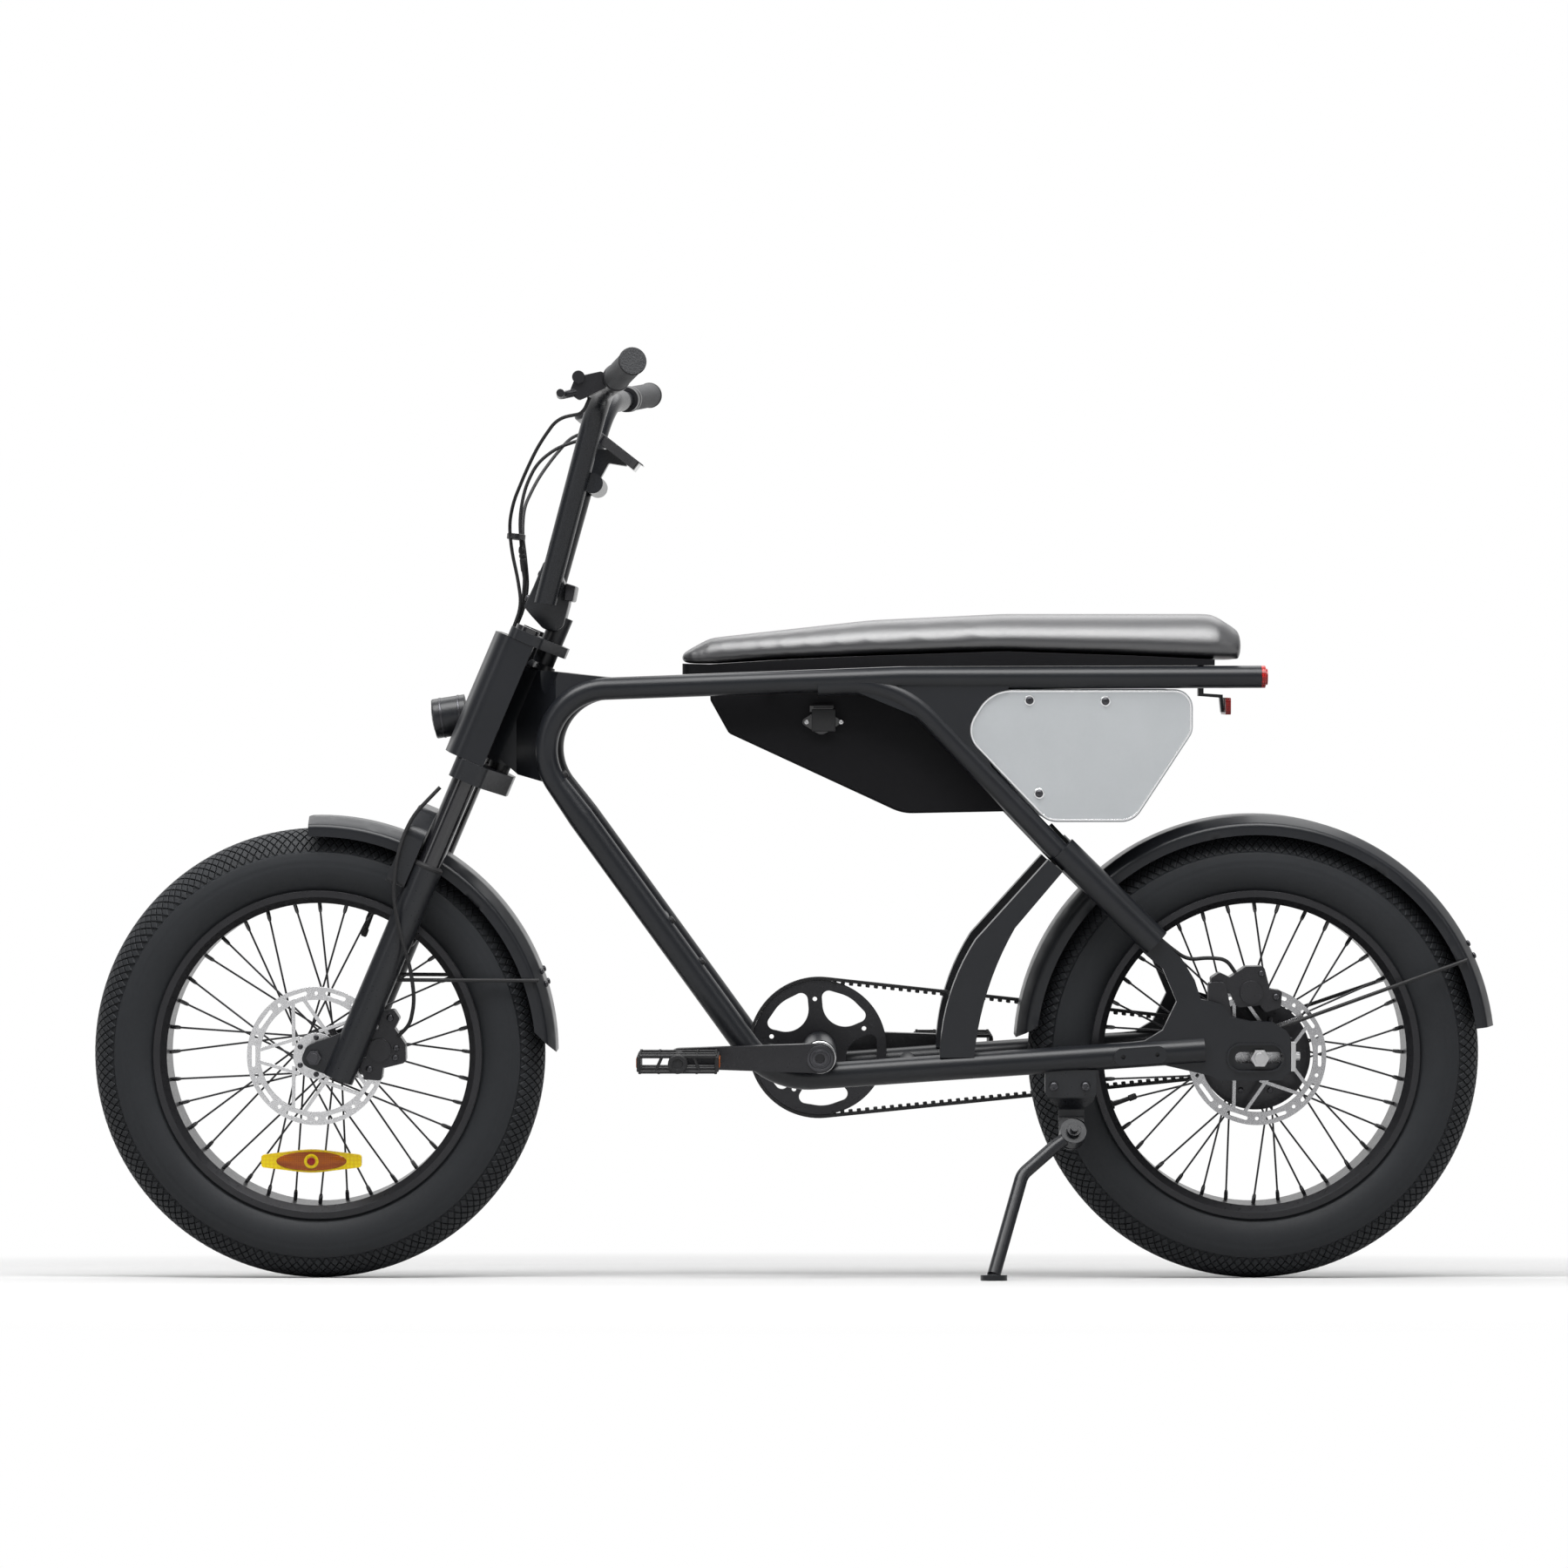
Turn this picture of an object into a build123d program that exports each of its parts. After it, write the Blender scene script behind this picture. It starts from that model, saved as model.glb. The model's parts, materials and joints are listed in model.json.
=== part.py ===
from math import asin, atan2, cos, degrees, hypot, pi, radians, sin, tan
import os

from build123d import *

os.makedirs("parts", exist_ok=True)

# Frame of reference while modelling: the bike stands upright, +X forward, +Y to the
# rider's left, +Z up, with the middle of the wheelbase at X = 0. Heights count from a level
# 295 mm below the axles, which is the ground for these tyres.
# At the end every piece is leaned onto the side stand and centred over the origin.

# Wheels
WHEELBASE = 1222.0
AXLE_Z = 295.0
TYRE_HEIGHT = 89.3
TYRE_SECTION = 96.0
TYRE_WALL = 5.0
RIM_BED_RADIUS = 205.7
RIM_FLANGE_HEIGHT = 8.3
RIM_DEPTH = 8.2
RIM_WIDTH = 80.0
RIM_FLANGE_THICKNESS = 4.0
SPOKES = 36
SPOKE_DIAMETER = 2.6
ROTOR_DIAMETER = 180.0
ROTOR_THICKNESS = 2.0
ROTOR_TRACK = 17.0
ROTOR_Y = 56.0
ROTOR_BOSS_RADIUS = 24.0
ROTOR_CARRIER_RIM = 6.0
ROTOR_SLOTS = 10
ROTOR_SLOT_LENGTH = 28.0
ROTOR_SLOT_WIDTH = 5.0
ROTOR_ARM_WIDTH = 4.5
ROTOR_ARM_LEAN = 34.0
SPOKE_RIM_Y = 9.0
PULLEY_SEAT_RADIUS = 20.0
PULLEY_SEAT_END = 67.0
FIT = 0.3
RUNNING_GAP = 5.0

# Parking
LEAN_ANGLE = 6.0

# Frame tubes
LOOP_Y = 86.0
RAIL_DIAMETER = 29.0
DOWNTUBE_DIAMETER = 33.5
STAY_DIAMETER = 28.0
LOWER_STAY_DIAMETER = 38.0
GUSSET_THICKNESS = 20.0
DROPOUT_THICKNESS = 12.0
STRUT_THICKNESS = 26.0

# Bottom bracket and drive
BB_X = -43.0
BB_Z = 297.0
BB_SHELL_DIAMETER = 44.0
SPINDLE_DIAMETER = 22.0
CRANK_LENGTH = 181.0
CRANK_Y = 109.0
CRANK_THICKNESS = 15.0
BELT_Y = -60.5
BELT_WIDTH = 11.0
BELT_THICKNESS = 4.0
BELT_OUTER_FRONT = 93.5
BELT_OUTER_REAR = 34.0
PEDAL_AXLE_DIAMETER = 14.0
PEDAL_LENGTH = 108.0
PEDAL_WIDTH = 88.0
PEDAL_HEIGHT = 26.0

# Steering
STEERING_ANGLE = 23.0
FORK_OFFSET = 70.0
LEG_F = 31.0
LEG_Y = 80.0
STEERING_RANGE = 25.0
STANCHION_DIAMETER = 32.0
LOWER_LEG_DIAMETER = 40.0
BAR_DIAMETER = 29.0
GRIP_DIAMETER = 33.0

TYRE_RADIUS = RIM_BED_RADIUS + TYRE_HEIGHT
RIM_FLANGE_RADIUS = RIM_BED_RADIUS + RIM_FLANGE_HEIGHT
RIM_INNER_RADIUS = RIM_BED_RADIUS - RIM_DEPTH
FRONT_X = WHEELBASE / 2
REAR_X = -WHEELBASE / 2
SECTION_RADIUS = TYRE_SECTION / 2
SECTION_CENTRE = TYRE_RADIUS - SECTION_RADIUS

SIDES = (("left", 1), ("right", -1))

pieces = {}


def side_plane(y):
    """A plane seen from the left or right at the lateral place y, with X and Z as axes."""
    return Plane.XZ.offset(-y)


steer_tilt = radians(STEERING_ANGLE)
STEER_UP = Vector(-sin(steer_tilt), 0, cos(steer_tilt))
STEER_AHEAD = Vector(cos(steer_tilt), 0, sin(steer_tilt))
STEER_FOOT = Vector(FRONT_X, 0, AXLE_Z) - STEER_AHEAD * FORK_OFFSET


def steer_point(ahead, y, up):
    """A point given by its distance ahead of the steering axis, its Y and its height along it."""
    return STEER_FOOT + STEER_AHEAD * ahead + STEER_UP * up + Vector(0, y, 0)


def crown_plane(up, y=0.0):
    """A plane square to the steering axis: its x points ahead and its y to the left."""
    return Plane(origin=steer_point(0, y, up), x_dir=STEER_AHEAD, z_dir=STEER_UP)


def fork_side_plane(y):
    """A side plane turned with the fork: x is ahead of the steering axis, y is up along it."""
    return Plane(origin=steer_point(0, y, 0), x_dir=STEER_AHEAD, z_dir=(0, -1, 0))


# Wheels: tyre, rim, hub with spokes

tyre_edge_y = RIM_WIDTH / 2 - RIM_FLANGE_THICKNESS - FIT
# (name, axle X, hub radius, hub half width, flange radius, flange Y, lead of the spokes)
WHEEL_TABLE = (
    ("front", FRONT_X, 16.0, 52.0, 30.0, 34.0, 50.0),
    ("rear", REAR_X, 72.0, 40.0, 70.0, 30.0, 14.0),
)
FRONT_AXLE_DIAMETER = 12.0
REAR_AXLE_DIAMETER = 14.0
axle_diameters = {"front": FRONT_AXLE_DIAMETER, "rear": REAR_AXLE_DIAMETER}

for wheel, axle_x, hub_radius, hub_half, flange_radius, flange_y, spoke_lead in WHEEL_TABLE:
    wheel_axis = Axis((axle_x, 0, AXLE_Z), (0, 1, 0))
    section_plane = Plane(origin=(axle_x, 0, AXLE_Z), x_dir=(0, 1, 0), z_dir=(1, 0, 0))
    bead_radius = RIM_BED_RADIUS + FIT
    inner_section = SECTION_RADIUS - TYRE_WALL
    edge_drop = (SECTION_RADIUS**2 - tyre_edge_y**2) ** 0.5
    inner_edge_y = tyre_edge_y - TYRE_WALL
    inner_drop = (inner_section**2 - inner_edge_y**2) ** 0.5

    with BuildPart() as tyre:
        with BuildSketch(section_plane):
            with BuildLine():
                outer_crown = ThreePointArc(
                    (tyre_edge_y, SECTION_CENTRE - edge_drop),
                    (0, SECTION_CENTRE + SECTION_RADIUS),
                    (-tyre_edge_y, SECTION_CENTRE - edge_drop),
                )
                inner_crown = ThreePointArc(
                    (-inner_edge_y, SECTION_CENTRE - inner_drop),
                    (0, SECTION_CENTRE + inner_section),
                    (inner_edge_y, SECTION_CENTRE - inner_drop),
                )
                Polyline(
                    outer_crown @ 1,
                    (-tyre_edge_y, bead_radius),
                    (-inner_edge_y, bead_radius),
                    inner_crown @ 0,
                )
                Polyline(
                    inner_crown @ 1,
                    (inner_edge_y, bead_radius),
                    (tyre_edge_y, bead_radius),
                    outer_crown @ 0,
                )
            make_face()
        revolve(axis=wheel_axis)
    pieces[f"{wheel}_tyre"] = tyre

    rim_edge = RIM_WIDTH / 2
    flange_in = rim_edge - RIM_FLANGE_THICKNESS
    with BuildPart() as rim:
        with BuildSketch(section_plane):
            with BuildLine():
                Polyline(
                    (-rim_edge, RIM_FLANGE_RADIUS),
                    (-flange_in, RIM_FLANGE_RADIUS),
                    (-flange_in, RIM_BED_RADIUS),
                    (flange_in, RIM_BED_RADIUS),
                    (flange_in, RIM_FLANGE_RADIUS),
                    (rim_edge, RIM_FLANGE_RADIUS),
                    (rim_edge, RIM_BED_RADIUS),
                    (rim_edge - 9, RIM_INNER_RADIUS),
                    (9 - rim_edge, RIM_INNER_RADIUS),
                    (-rim_edge, RIM_BED_RADIUS),
                    close=True,
                )
            make_face()
        revolve(axis=wheel_axis)
    pieces[f"{wheel}_rim"] = rim

    bore_radius = axle_diameters[wheel] / 2 + FIT
    rotor_seat = ROTOR_Y - ROTOR_THICKNESS / 2
    spoke_root = flange_radius - SPOKE_DIAMETER
    spoke_places = []
    for number in range(SPOKES):
        side = 1 if number % 2 else -1
        lead = 1 if number % 4 < 2 else -1
        rim_turn = radians(360 / SPOKES * number)
        hub_turn = rim_turn + lead * radians(spoke_lead)
        start = Vector(
            axle_x + spoke_root * cos(hub_turn),
            side * flange_y,
            AXLE_Z + spoke_root * sin(hub_turn),
        )
        end = Vector(
            axle_x + (RIM_INNER_RADIUS - FIT) * cos(rim_turn),
            side * SPOKE_RIM_Y,
            AXLE_Z + (RIM_INNER_RADIUS - FIT) * sin(rim_turn),
        )
        spoke_places.append(Plane(origin=start, z_dir=end - start))
        spoke_length = (end - start).length

    with BuildPart() as hub:
        with BuildSketch(section_plane):
            with BuildLine():
                if wheel == "front":
                    Polyline(
                        (-hub_half, bore_radius),
                        (-hub_half, hub_radius),
                        (-flange_y - 2, hub_radius),
                        (-flange_y - 2, flange_radius),
                        (-flange_y + 2, flange_radius),
                        (-flange_y + 6, hub_radius),
                        (flange_y - 6, hub_radius),
                        (flange_y - 2, flange_radius),
                        (flange_y + 2, flange_radius),
                        (flange_y + 2, hub_radius),
                        (rotor_seat, ROTOR_BOSS_RADIUS),
                        (rotor_seat, bore_radius),
                        close=True,
                    )
                else:
                    Polyline(
                        (-PULLEY_SEAT_END, bore_radius),
                        (-PULLEY_SEAT_END, PULLEY_SEAT_RADIUS),
                        (-hub_half - 10, PULLEY_SEAT_RADIUS),
                        (-hub_half, 28),
                        (-hub_half + 6, hub_radius - 8),
                        (-flange_y - 3, hub_radius),
                        (flange_y + 3, hub_radius),
                        (hub_half - 6, hub_radius - 8),
                        (hub_half, 28),
                        (rotor_seat, ROTOR_BOSS_RADIUS),
                        (rotor_seat, bore_radius),
                        close=True,
                    )
            make_face()
        revolve(axis=wheel_axis)
        with Locations(*spoke_places):
            Cylinder(
                SPOKE_DIAMETER / 2,
                spoke_length,
                align=(Align.CENTER, Align.CENTER, Align.MIN),
            )
    pieces[f"{wheel}_hub"] = hub

    carrier_radius = ROTOR_BOSS_RADIUS + ROTOR_CARRIER_RIM
    track_inner = ROTOR_DIAMETER / 2 - ROTOR_TRACK
    track_middle = ROTOR_DIAMETER / 2 - ROTOR_TRACK / 2
    arm_middle = (carrier_radius + track_inner) / 2
    arm_length = 1.35 * (track_inner - carrier_radius)
    with BuildPart() as rotor:
        with BuildSketch(side_plane(ROTOR_Y)):
            with Locations((axle_x, AXLE_Z)):
                Circle(track_inner + ROTOR_TRACK / 3)
                Circle(track_inner, mode=Mode.SUBTRACT)
                Circle(carrier_radius)
                for arm_lean in (-ROTOR_ARM_LEAN, ROTOR_ARM_LEAN):
                    with PolarLocations(arm_middle, ROTOR_SLOTS // 2,
                                        start_angle=arm_lean / 2):
                        Rectangle(arm_length, ROTOR_ARM_WIDTH, rotation=-arm_lean)
        extrude(amount=ROTOR_THICKNESS / 2, both=True)
        with BuildSketch(side_plane(ROTOR_Y)):
            with Locations((axle_x, AXLE_Z)):
                Circle(ROTOR_DIAMETER / 2)
                Circle(track_inner + ROTOR_TRACK / 3 - FIT, mode=Mode.SUBTRACT)
                with PolarLocations(track_middle, ROTOR_SLOTS):
                    SlotOverall(ROTOR_SLOT_LENGTH, ROTOR_SLOT_WIDTH, rotation=90,
                                mode=Mode.SUBTRACT)
                with PolarLocations(track_middle, ROTOR_SLOTS,
                                    start_angle=180 / ROTOR_SLOTS):
                    Circle(ROTOR_SLOT_WIDTH / 2, mode=Mode.SUBTRACT)
        extrude(amount=ROTOR_THICKNESS / 2, both=True)
        with BuildSketch(side_plane(ROTOR_Y)):
            with Locations((axle_x, AXLE_Z)):
                Circle(bore_radius)
        extrude(amount=ROTOR_THICKNESS, both=True, mode=Mode.SUBTRACT)
    pieces[f"{wheel}_rotor"] = rotor


def run_tube(points, radii, diameter, plane=Plane.XY):
    """Add a round bar along straight runs joined by arcs to the piece being built."""
    places = [tuple(Vector(point)) for point in points]
    with BuildLine(plane) as route:
        if len(places) == 2:
            Line(*places)
        else:
            FilletPolyline(*places, radius=radii)
    path = route.wire()
    with BuildSketch(Plane(origin=path @ 0, z_dir=path % 0)) as section:
        Circle(diameter / 2)
    sweep(sections=section.sketch, path=path)


def tangent_point(corner, after, turn, radius):
    """The point where a corner of a route, rounded to a radius, meets the run after it."""
    reach = (after - corner).normalized()
    return corner + reach * (radius * tan(turn / 2))


# Frame: two side loops, the neck, the bottom bracket shell and the cross tubes

# Centre lines in X and Z
RAIL_TAIL = Vector(-612.0, 787.4)
RAIL_MIDDLE = Vector(-150.0, 786.0)
RAIL_NOSE = Vector(382.0, 766.6)
RAIL_BEND_RADIUS = 600.0
FRONT_BEND_RADIUS = 79.0
BB_CORNER = Vector(20.3, 266.7)
BB_BEND_RADIUS = 100.0
CHAINSTAY_END = Vector(-540.0, 305.2)
STAY_ROOT = Vector(-40.0, 776.5)
STAY_CORNER = Vector(-141.0, 781.2)
STAY_BEND_RADIUS = 145.0
STAY_LOWER = Vector(-352.0, 561.0)
STAY_FOOT = Vector(-474.0, 440.2)
TAPER_LENGTH = 50.0
SHELL_RADIUS = BB_SHELL_DIAMETER / 2

# Dropout plate outline, from the stay round the axle end and back to the stay
DROPOUT = (
    (-440.0, 465.0),
    (-462.0, 431.0),
    (-485.8, 410.6),
    (-503.8, 368.0),
    (-486.0, 331.0),
    (-463.0, 317.0),
    (-420.0, 312.0),
    (-420.0, 283.0),
    (-480.0, 287.5),
    (-548.0, 272.0),
    (-559.0, 266.0),
    (-638.0, 266.0),
    (-651.0, 278.0),
    (-651.0, 322.0),
    (-645.0, 331.0),
    (-628.0, 341.5),
    (-600.0, 342.5),
    (-576.0, 348.0),
    (-562.0, 364.0),
    (-550.0, 368.0),
    (-535.0, 371.0),
    (-527.0, 396.0),
    (-510.0, 424.0),
    (-480.0, 452.0),
)
STRUT_FRONT = ((-338.0, 552.0), (-244.0, 448.0), (-216.0, 392.0), (-198.0, 296.0))
STRUT_REAR = ((-242.0, 296.0), (-255.0, 368.0), (-294.6, 463.5), (-356.0, 536.0))
SLOT_LENGTH = 62.0
SLOT_HEIGHT = REAR_AXLE_DIAMETER + 2 * FIT
RECESS_PLACE = (-605.7, 295.6)
RECESS_LENGTH = 70.0
RECESS_HEIGHT = 33.0
RECESS_DEPTH = 6.0
RECESS_RIM = 2.5
AXLE_END_Y = LOOP_Y + DROPOUT_THICKNESS / 2

stay_way = (STAY_LOWER - STAY_CORNER).normalized()
stay_up = Vector(stay_way.Y, -stay_way.X)
PANEL_GAP = 1.5


def beside_stay(z, distance):
    """The X of a line beside the seat stay, above and behind it, at a height."""
    base = STAY_CORNER + stay_up * distance
    return base.X + (z - base.Y) * stay_way.X / stay_way.Y


# Silver side panel, in X and Z
PANEL_TOP = RAIL_TAIL.Y - RAIL_DIAMETER / 2 - PANEL_GAP
PANEL_BOTTOM = 600.0
PANEL_NOSE_Z = 714.0
panel_edge = STAY_DIAMETER / 2 + PANEL_GAP
PANEL_CORNERS = (
    (-262.0, PANEL_TOP),
    (-524.0, PANEL_TOP),
    (-524.0, 716.0),
    (-448.0, PANEL_BOTTOM),
    (beside_stay(PANEL_BOTTOM, panel_edge), PANEL_BOTTOM),
    (beside_stay(PANEL_NOSE_Z, panel_edge), PANEL_NOSE_Z),
)
PANEL_RADII = (50.0, 24.0, 24.0, 30.0, 30.0, 34.0)

stay_growth = (LOWER_STAY_DIAMETER - STAY_DIAMETER) / 2
bend_turn = (RAIL_NOSE - RAIL_MIDDLE).get_angle(BB_CORNER - RAIL_NOSE)
bend_end = tangent_point(RAIL_NOSE, BB_CORNER, radians(bend_turn), FRONT_BEND_RADIUS)
down_direction = (BB_CORNER - RAIL_NOSE).normalized()
down_start = bend_end + down_direction * TAPER_LENGTH


frame_sides = {}
for side_name, side in SIDES:
    loop_plane = side_plane(side * LOOP_Y)
    with BuildPart() as frame_side:
        run_tube((RAIL_TAIL, RAIL_MIDDLE, RAIL_NOSE, bend_end + down_direction),
                 [RAIL_BEND_RADIUS, FRONT_BEND_RADIUS], RAIL_DIAMETER, loop_plane)
        taper_start = Vector(bend_end.X, side * LOOP_Y, bend_end.Y)
        taper_axis = Vector(down_direction.X, 0, down_direction.Y)
        with Locations(Plane(origin=taper_start, z_dir=taper_axis)):
            Cone(
                RAIL_DIAMETER / 2,
                DOWNTUBE_DIAMETER / 2,
                TAPER_LENGTH,
                align=(Align.CENTER, Align.CENTER, Align.MIN),
            )
        run_tube((down_start, BB_CORNER, CHAINSTAY_END), [BB_BEND_RADIUS],
                 DOWNTUBE_DIAMETER, loop_plane)
        run_tube((STAY_ROOT, STAY_CORNER, STAY_LOWER), [STAY_BEND_RADIUS],
                 STAY_DIAMETER, loop_plane)
        run_tube((STAY_LOWER + stay_up * stay_growth, STAY_FOOT + stay_up * stay_growth), [],
                 LOWER_STAY_DIAMETER, loop_plane)
        with BuildSketch(loop_plane):
            with BuildLine():
                front_top, front_knee, front_low, front_foot = STRUT_FRONT
                Line(front_top, front_knee)
                ThreePointArc(front_knee, front_low, front_foot)
                Line(front_foot, STRUT_REAR[0])
                ThreePointArc(*STRUT_REAR[:3])
                Line(STRUT_REAR[2], STRUT_REAR[3])
                Line(STRUT_REAR[3], front_top)
            make_face()
        extrude(amount=STRUT_THICKNESS / 2, both=True)
        with BuildSketch(loop_plane):
            Polygon(*DROPOUT, align=None)
        extrude(amount=DROPOUT_THICKNESS / 2, both=True)
        with BuildSketch(loop_plane):
            Polygon((-60, 779), (-90, 768), (-170, 735), (-330, 585), (-290, 620),
                    (-250, 700), (-290, 781), align=None)
            with BuildLine():
                FilletPolyline(*PANEL_CORNERS, radius=PANEL_RADII, close=True)
            make_face(mode=Mode.SUBTRACT)
        extrude(amount=GUSSET_THICKNESS / 2, both=True)
        with BuildSketch(side_plane(side * AXLE_END_Y)):
            with Locations(RECESS_PLACE):
                SlotOverall(RECESS_LENGTH + 2 * RECESS_RIM, RECESS_HEIGHT + 2 * RECESS_RIM)
        extrude(amount=-side * RECESS_RIM)
        with BuildSketch(side_plane(side * (AXLE_END_Y - RECESS_DEPTH))):
            with Locations(RECESS_PLACE):
                SlotOverall(RECESS_LENGTH, RECESS_HEIGHT)
        extrude(amount=-side * DROPOUT_THICKNESS, mode=Mode.SUBTRACT)
        with BuildSketch(loop_plane):
            with Locations((REAR_X, AXLE_Z)):
                SlotOverall(SLOT_LENGTH, SLOT_HEIGHT)
        extrude(amount=DROPOUT_THICKNESS, both=True, mode=Mode.SUBTRACT)
    frame_sides[side_name] = frame_side
    pieces[f"frame_{side_name}"] = frame_side

# Neck: head tube with the web that spreads to both loops

HEAD_TUBE_DIAMETER = 52.0
HEAD_TUBE_LOW = 442.0
HEAD_TUBE_TOP = 572.0
STEERER_DIAMETER = 28.6
BEND_CENTRE = (231.0, 693.0)
neck_low = (BEND_CENTRE[0] + FRONT_BEND_RADIUS * cos(radians(-36)),
            BEND_CENTRE[1] + FRONT_BEND_RADIUS * sin(radians(-36)))
neck_mid = (BEND_CENTRE[0] + FRONT_BEND_RADIUS * cos(radians(30)),
            BEND_CENTRE[1] + FRONT_BEND_RADIUS * sin(radians(30)))
neck_top = (BEND_CENTRE[0], BEND_CENTRE[1] + FRONT_BEND_RADIUS)
head_top = steer_point(0, 0, HEAD_TUBE_TOP)
head_low = steer_point(0, 0, HEAD_TUBE_LOW)

with BuildPart() as neck:
    with BuildSketch(side_plane(0)):
        with BuildLine():
            ThreePointArc(neck_low, neck_mid, neck_top)
            Polyline(
                neck_top,
                (BEND_CENTRE[0], 786.5),
                (head_top.X, head_top.Z + 2),
                (head_low.X, head_low.Z + 6),
                (350.0, 660.0),
                (318.0, 652.0),
                neck_low,
            )
        make_face()
    extrude(amount=LOOP_Y, both=True)
    with BuildSketch(Plane.XY):
        Polygon(
            (200, -LOOP_Y), (298, -LOOP_Y), (352, -30), (400, -24),
            (400, 24), (352, 30), (298, LOOP_Y), (200, LOOP_Y), align=None,
        )
    extrude(amount=WHEELBASE, mode=Mode.INTERSECT)
    with Locations(crown_plane(HEAD_TUBE_LOW)):
        Cylinder(
            HEAD_TUBE_DIAMETER / 2,
            HEAD_TUBE_TOP - HEAD_TUBE_LOW,
            align=(Align.CENTER, Align.CENTER, Align.MIN),
        )
        Cylinder(
            STEERER_DIAMETER / 2 + RUNNING_GAP / 2,
            HEAD_TUBE_TOP - HEAD_TUBE_LOW + 60,
            align=(Align.CENTER, Align.CENTER, Align.MIN),
            mode=Mode.SUBTRACT,
        )
    with Locations(crown_plane(HEAD_TUBE_TOP)):
        Cylinder(
            HEAD_TUBE_DIAMETER,
            HEAD_TUBE_DIAMETER,
            align=(Align.CENTER, Align.CENTER, Align.MIN),
            mode=Mode.SUBTRACT,
        )
    for side_name, side in SIDES:
        leg_turn = side * (degrees(atan2(LEG_Y, LEG_F)) + STEERING_RANGE)
        with Locations(crown_plane(HEAD_TUBE_LOW)):
            with PolarLocations(hypot(LEG_F, LEG_Y), 1, start_angle=leg_turn):
                Cylinder(
                    STANCHION_DIAMETER / 2 + RUNNING_GAP,
                    3 * (HEAD_TUBE_TOP - HEAD_TUBE_LOW),
                    mode=Mode.SUBTRACT,
                )
        add(frame_sides[side_name].part, mode=Mode.SUBTRACT)
pieces["neck"] = neck

# Bottom bracket: a long shell through the left loop and a short boss in the right one
# (lowest Y, highest Y)
SHELL_SPANS = ((BELT_Y + 12.0, LOOP_Y + 16.0), (-LOOP_Y - 16.0, BELT_Y - 9.0))

with BuildPart() as bb_shell:
    for low_y, high_y in SHELL_SPANS:
        with BuildSketch(side_plane(low_y)):
            with Locations((BB_X, BB_Z)):
                Circle(SHELL_RADIUS)
                Circle(SPINDLE_DIAMETER / 2 + FIT, mode=Mode.SUBTRACT)
        extrude(amount=low_y - high_y)
pieces["bb_shell"] = bb_shell

# Cross tubes between the loops (X, Z, diameter)
RAIL_TUBE_Z = 779.2
RAIL_TUBE_DIAMETER = 18.0
CROSS_TUBES = (
    (166.0, 468.0, 22.0),
    (-160.0, 279.1, 22.0),
    (-381.0, 531.0, 18.0),
    (-600.0, 787.2, 18.0),
    (20.0, RAIL_TUBE_Z, RAIL_TUBE_DIAMETER),
)
with BuildPart() as cross_tubes:
    for tube_x, tube_z, tube_diameter in CROSS_TUBES:
        with BuildSketch(side_plane(0)):
            with Locations((tube_x, tube_z)):
                Circle(tube_diameter / 2)
        extrude(amount=LOOP_Y, both=True)
    for side_name in frame_sides:
        add(frame_sides[side_name].part, mode=Mode.SUBTRACT)
pieces["cross_tubes"] = cross_tubes

for side_name in frame_sides:
    with BuildPart() as notched:
        add(frame_sides[side_name].part)
        with BuildSketch(side_plane(0)):
            with Locations((BB_X, BB_Z)):
                Circle(SHELL_RADIUS)
        extrude(amount=LOOP_Y + LOWER_STAY_DIAMETER, both=True, mode=Mode.SUBTRACT)
    pieces[f"frame_{side_name}"] = notched

# Silver side panels and the electronics box between them

PANEL_Y = 88.0
PANEL_THICKNESS = 4.0
BOX_INSET = 12.0
for side_name, side in SIDES:
    with BuildPart() as panel:
        with BuildSketch(side_plane(side * (PANEL_Y + PANEL_THICKNESS / 2))):
            with BuildLine():
                FilletPolyline(*PANEL_CORNERS, radius=PANEL_RADII, close=True)
            make_face()
        extrude(amount=PANEL_THICKNESS / 2, both=True)
        outer_face = panel.faces().sort_by(Axis.Y)[-1 if side > 0 else 0]
        chamfer(outer_face.edges(), 1.5)
    pieces[f"side_panel_{side_name}"] = panel

with BuildPart() as controller_box:
    with BuildSketch(side_plane(0)):
        with BuildLine():
            FilletPolyline(*PANEL_CORNERS, radius=PANEL_RADII, close=True)
        make_face()
        offset(amount=-BOX_INSET)
    extrude(amount=PANEL_Y, both=True)
pieces["controller_box"] = controller_box

# Battery case between the loops, with its lower cover

BATTERY_HALF_WIDTH = 58.0
BATTERY_TOP = RAIL_TUBE_Z - RAIL_TUBE_DIAMETER / 2 - FIT
BATTERY_REAR_Z = 613.0
with BuildPart() as battery_case:
    with BuildSketch(side_plane(0)):
        with BuildLine():
            FilletPolyline(
                (99.0, BATTERY_TOP),
                (99.0, 757.0),
                (75.0, 714.0),
                (-150.0, 610.0),
                (beside_stay(BATTERY_REAR_Z, 0), BATTERY_REAR_Z),
                (beside_stay(BATTERY_TOP, 0), BATTERY_TOP),
                radius=(6.0, 8.0, 12.0, 60.0, 6.0, 6.0),
                close=True,
            )
        make_face()
    extrude(amount=BATTERY_HALF_WIDTH, both=True)
    long_edges = battery_case.faces().sort_by(Axis.Y)[-1].edges()
    long_edges += battery_case.faces().sort_by(Axis.Y)[0].edges()
    chamfer(long_edges, 3.0)
pieces["battery_case"] = battery_case

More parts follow.
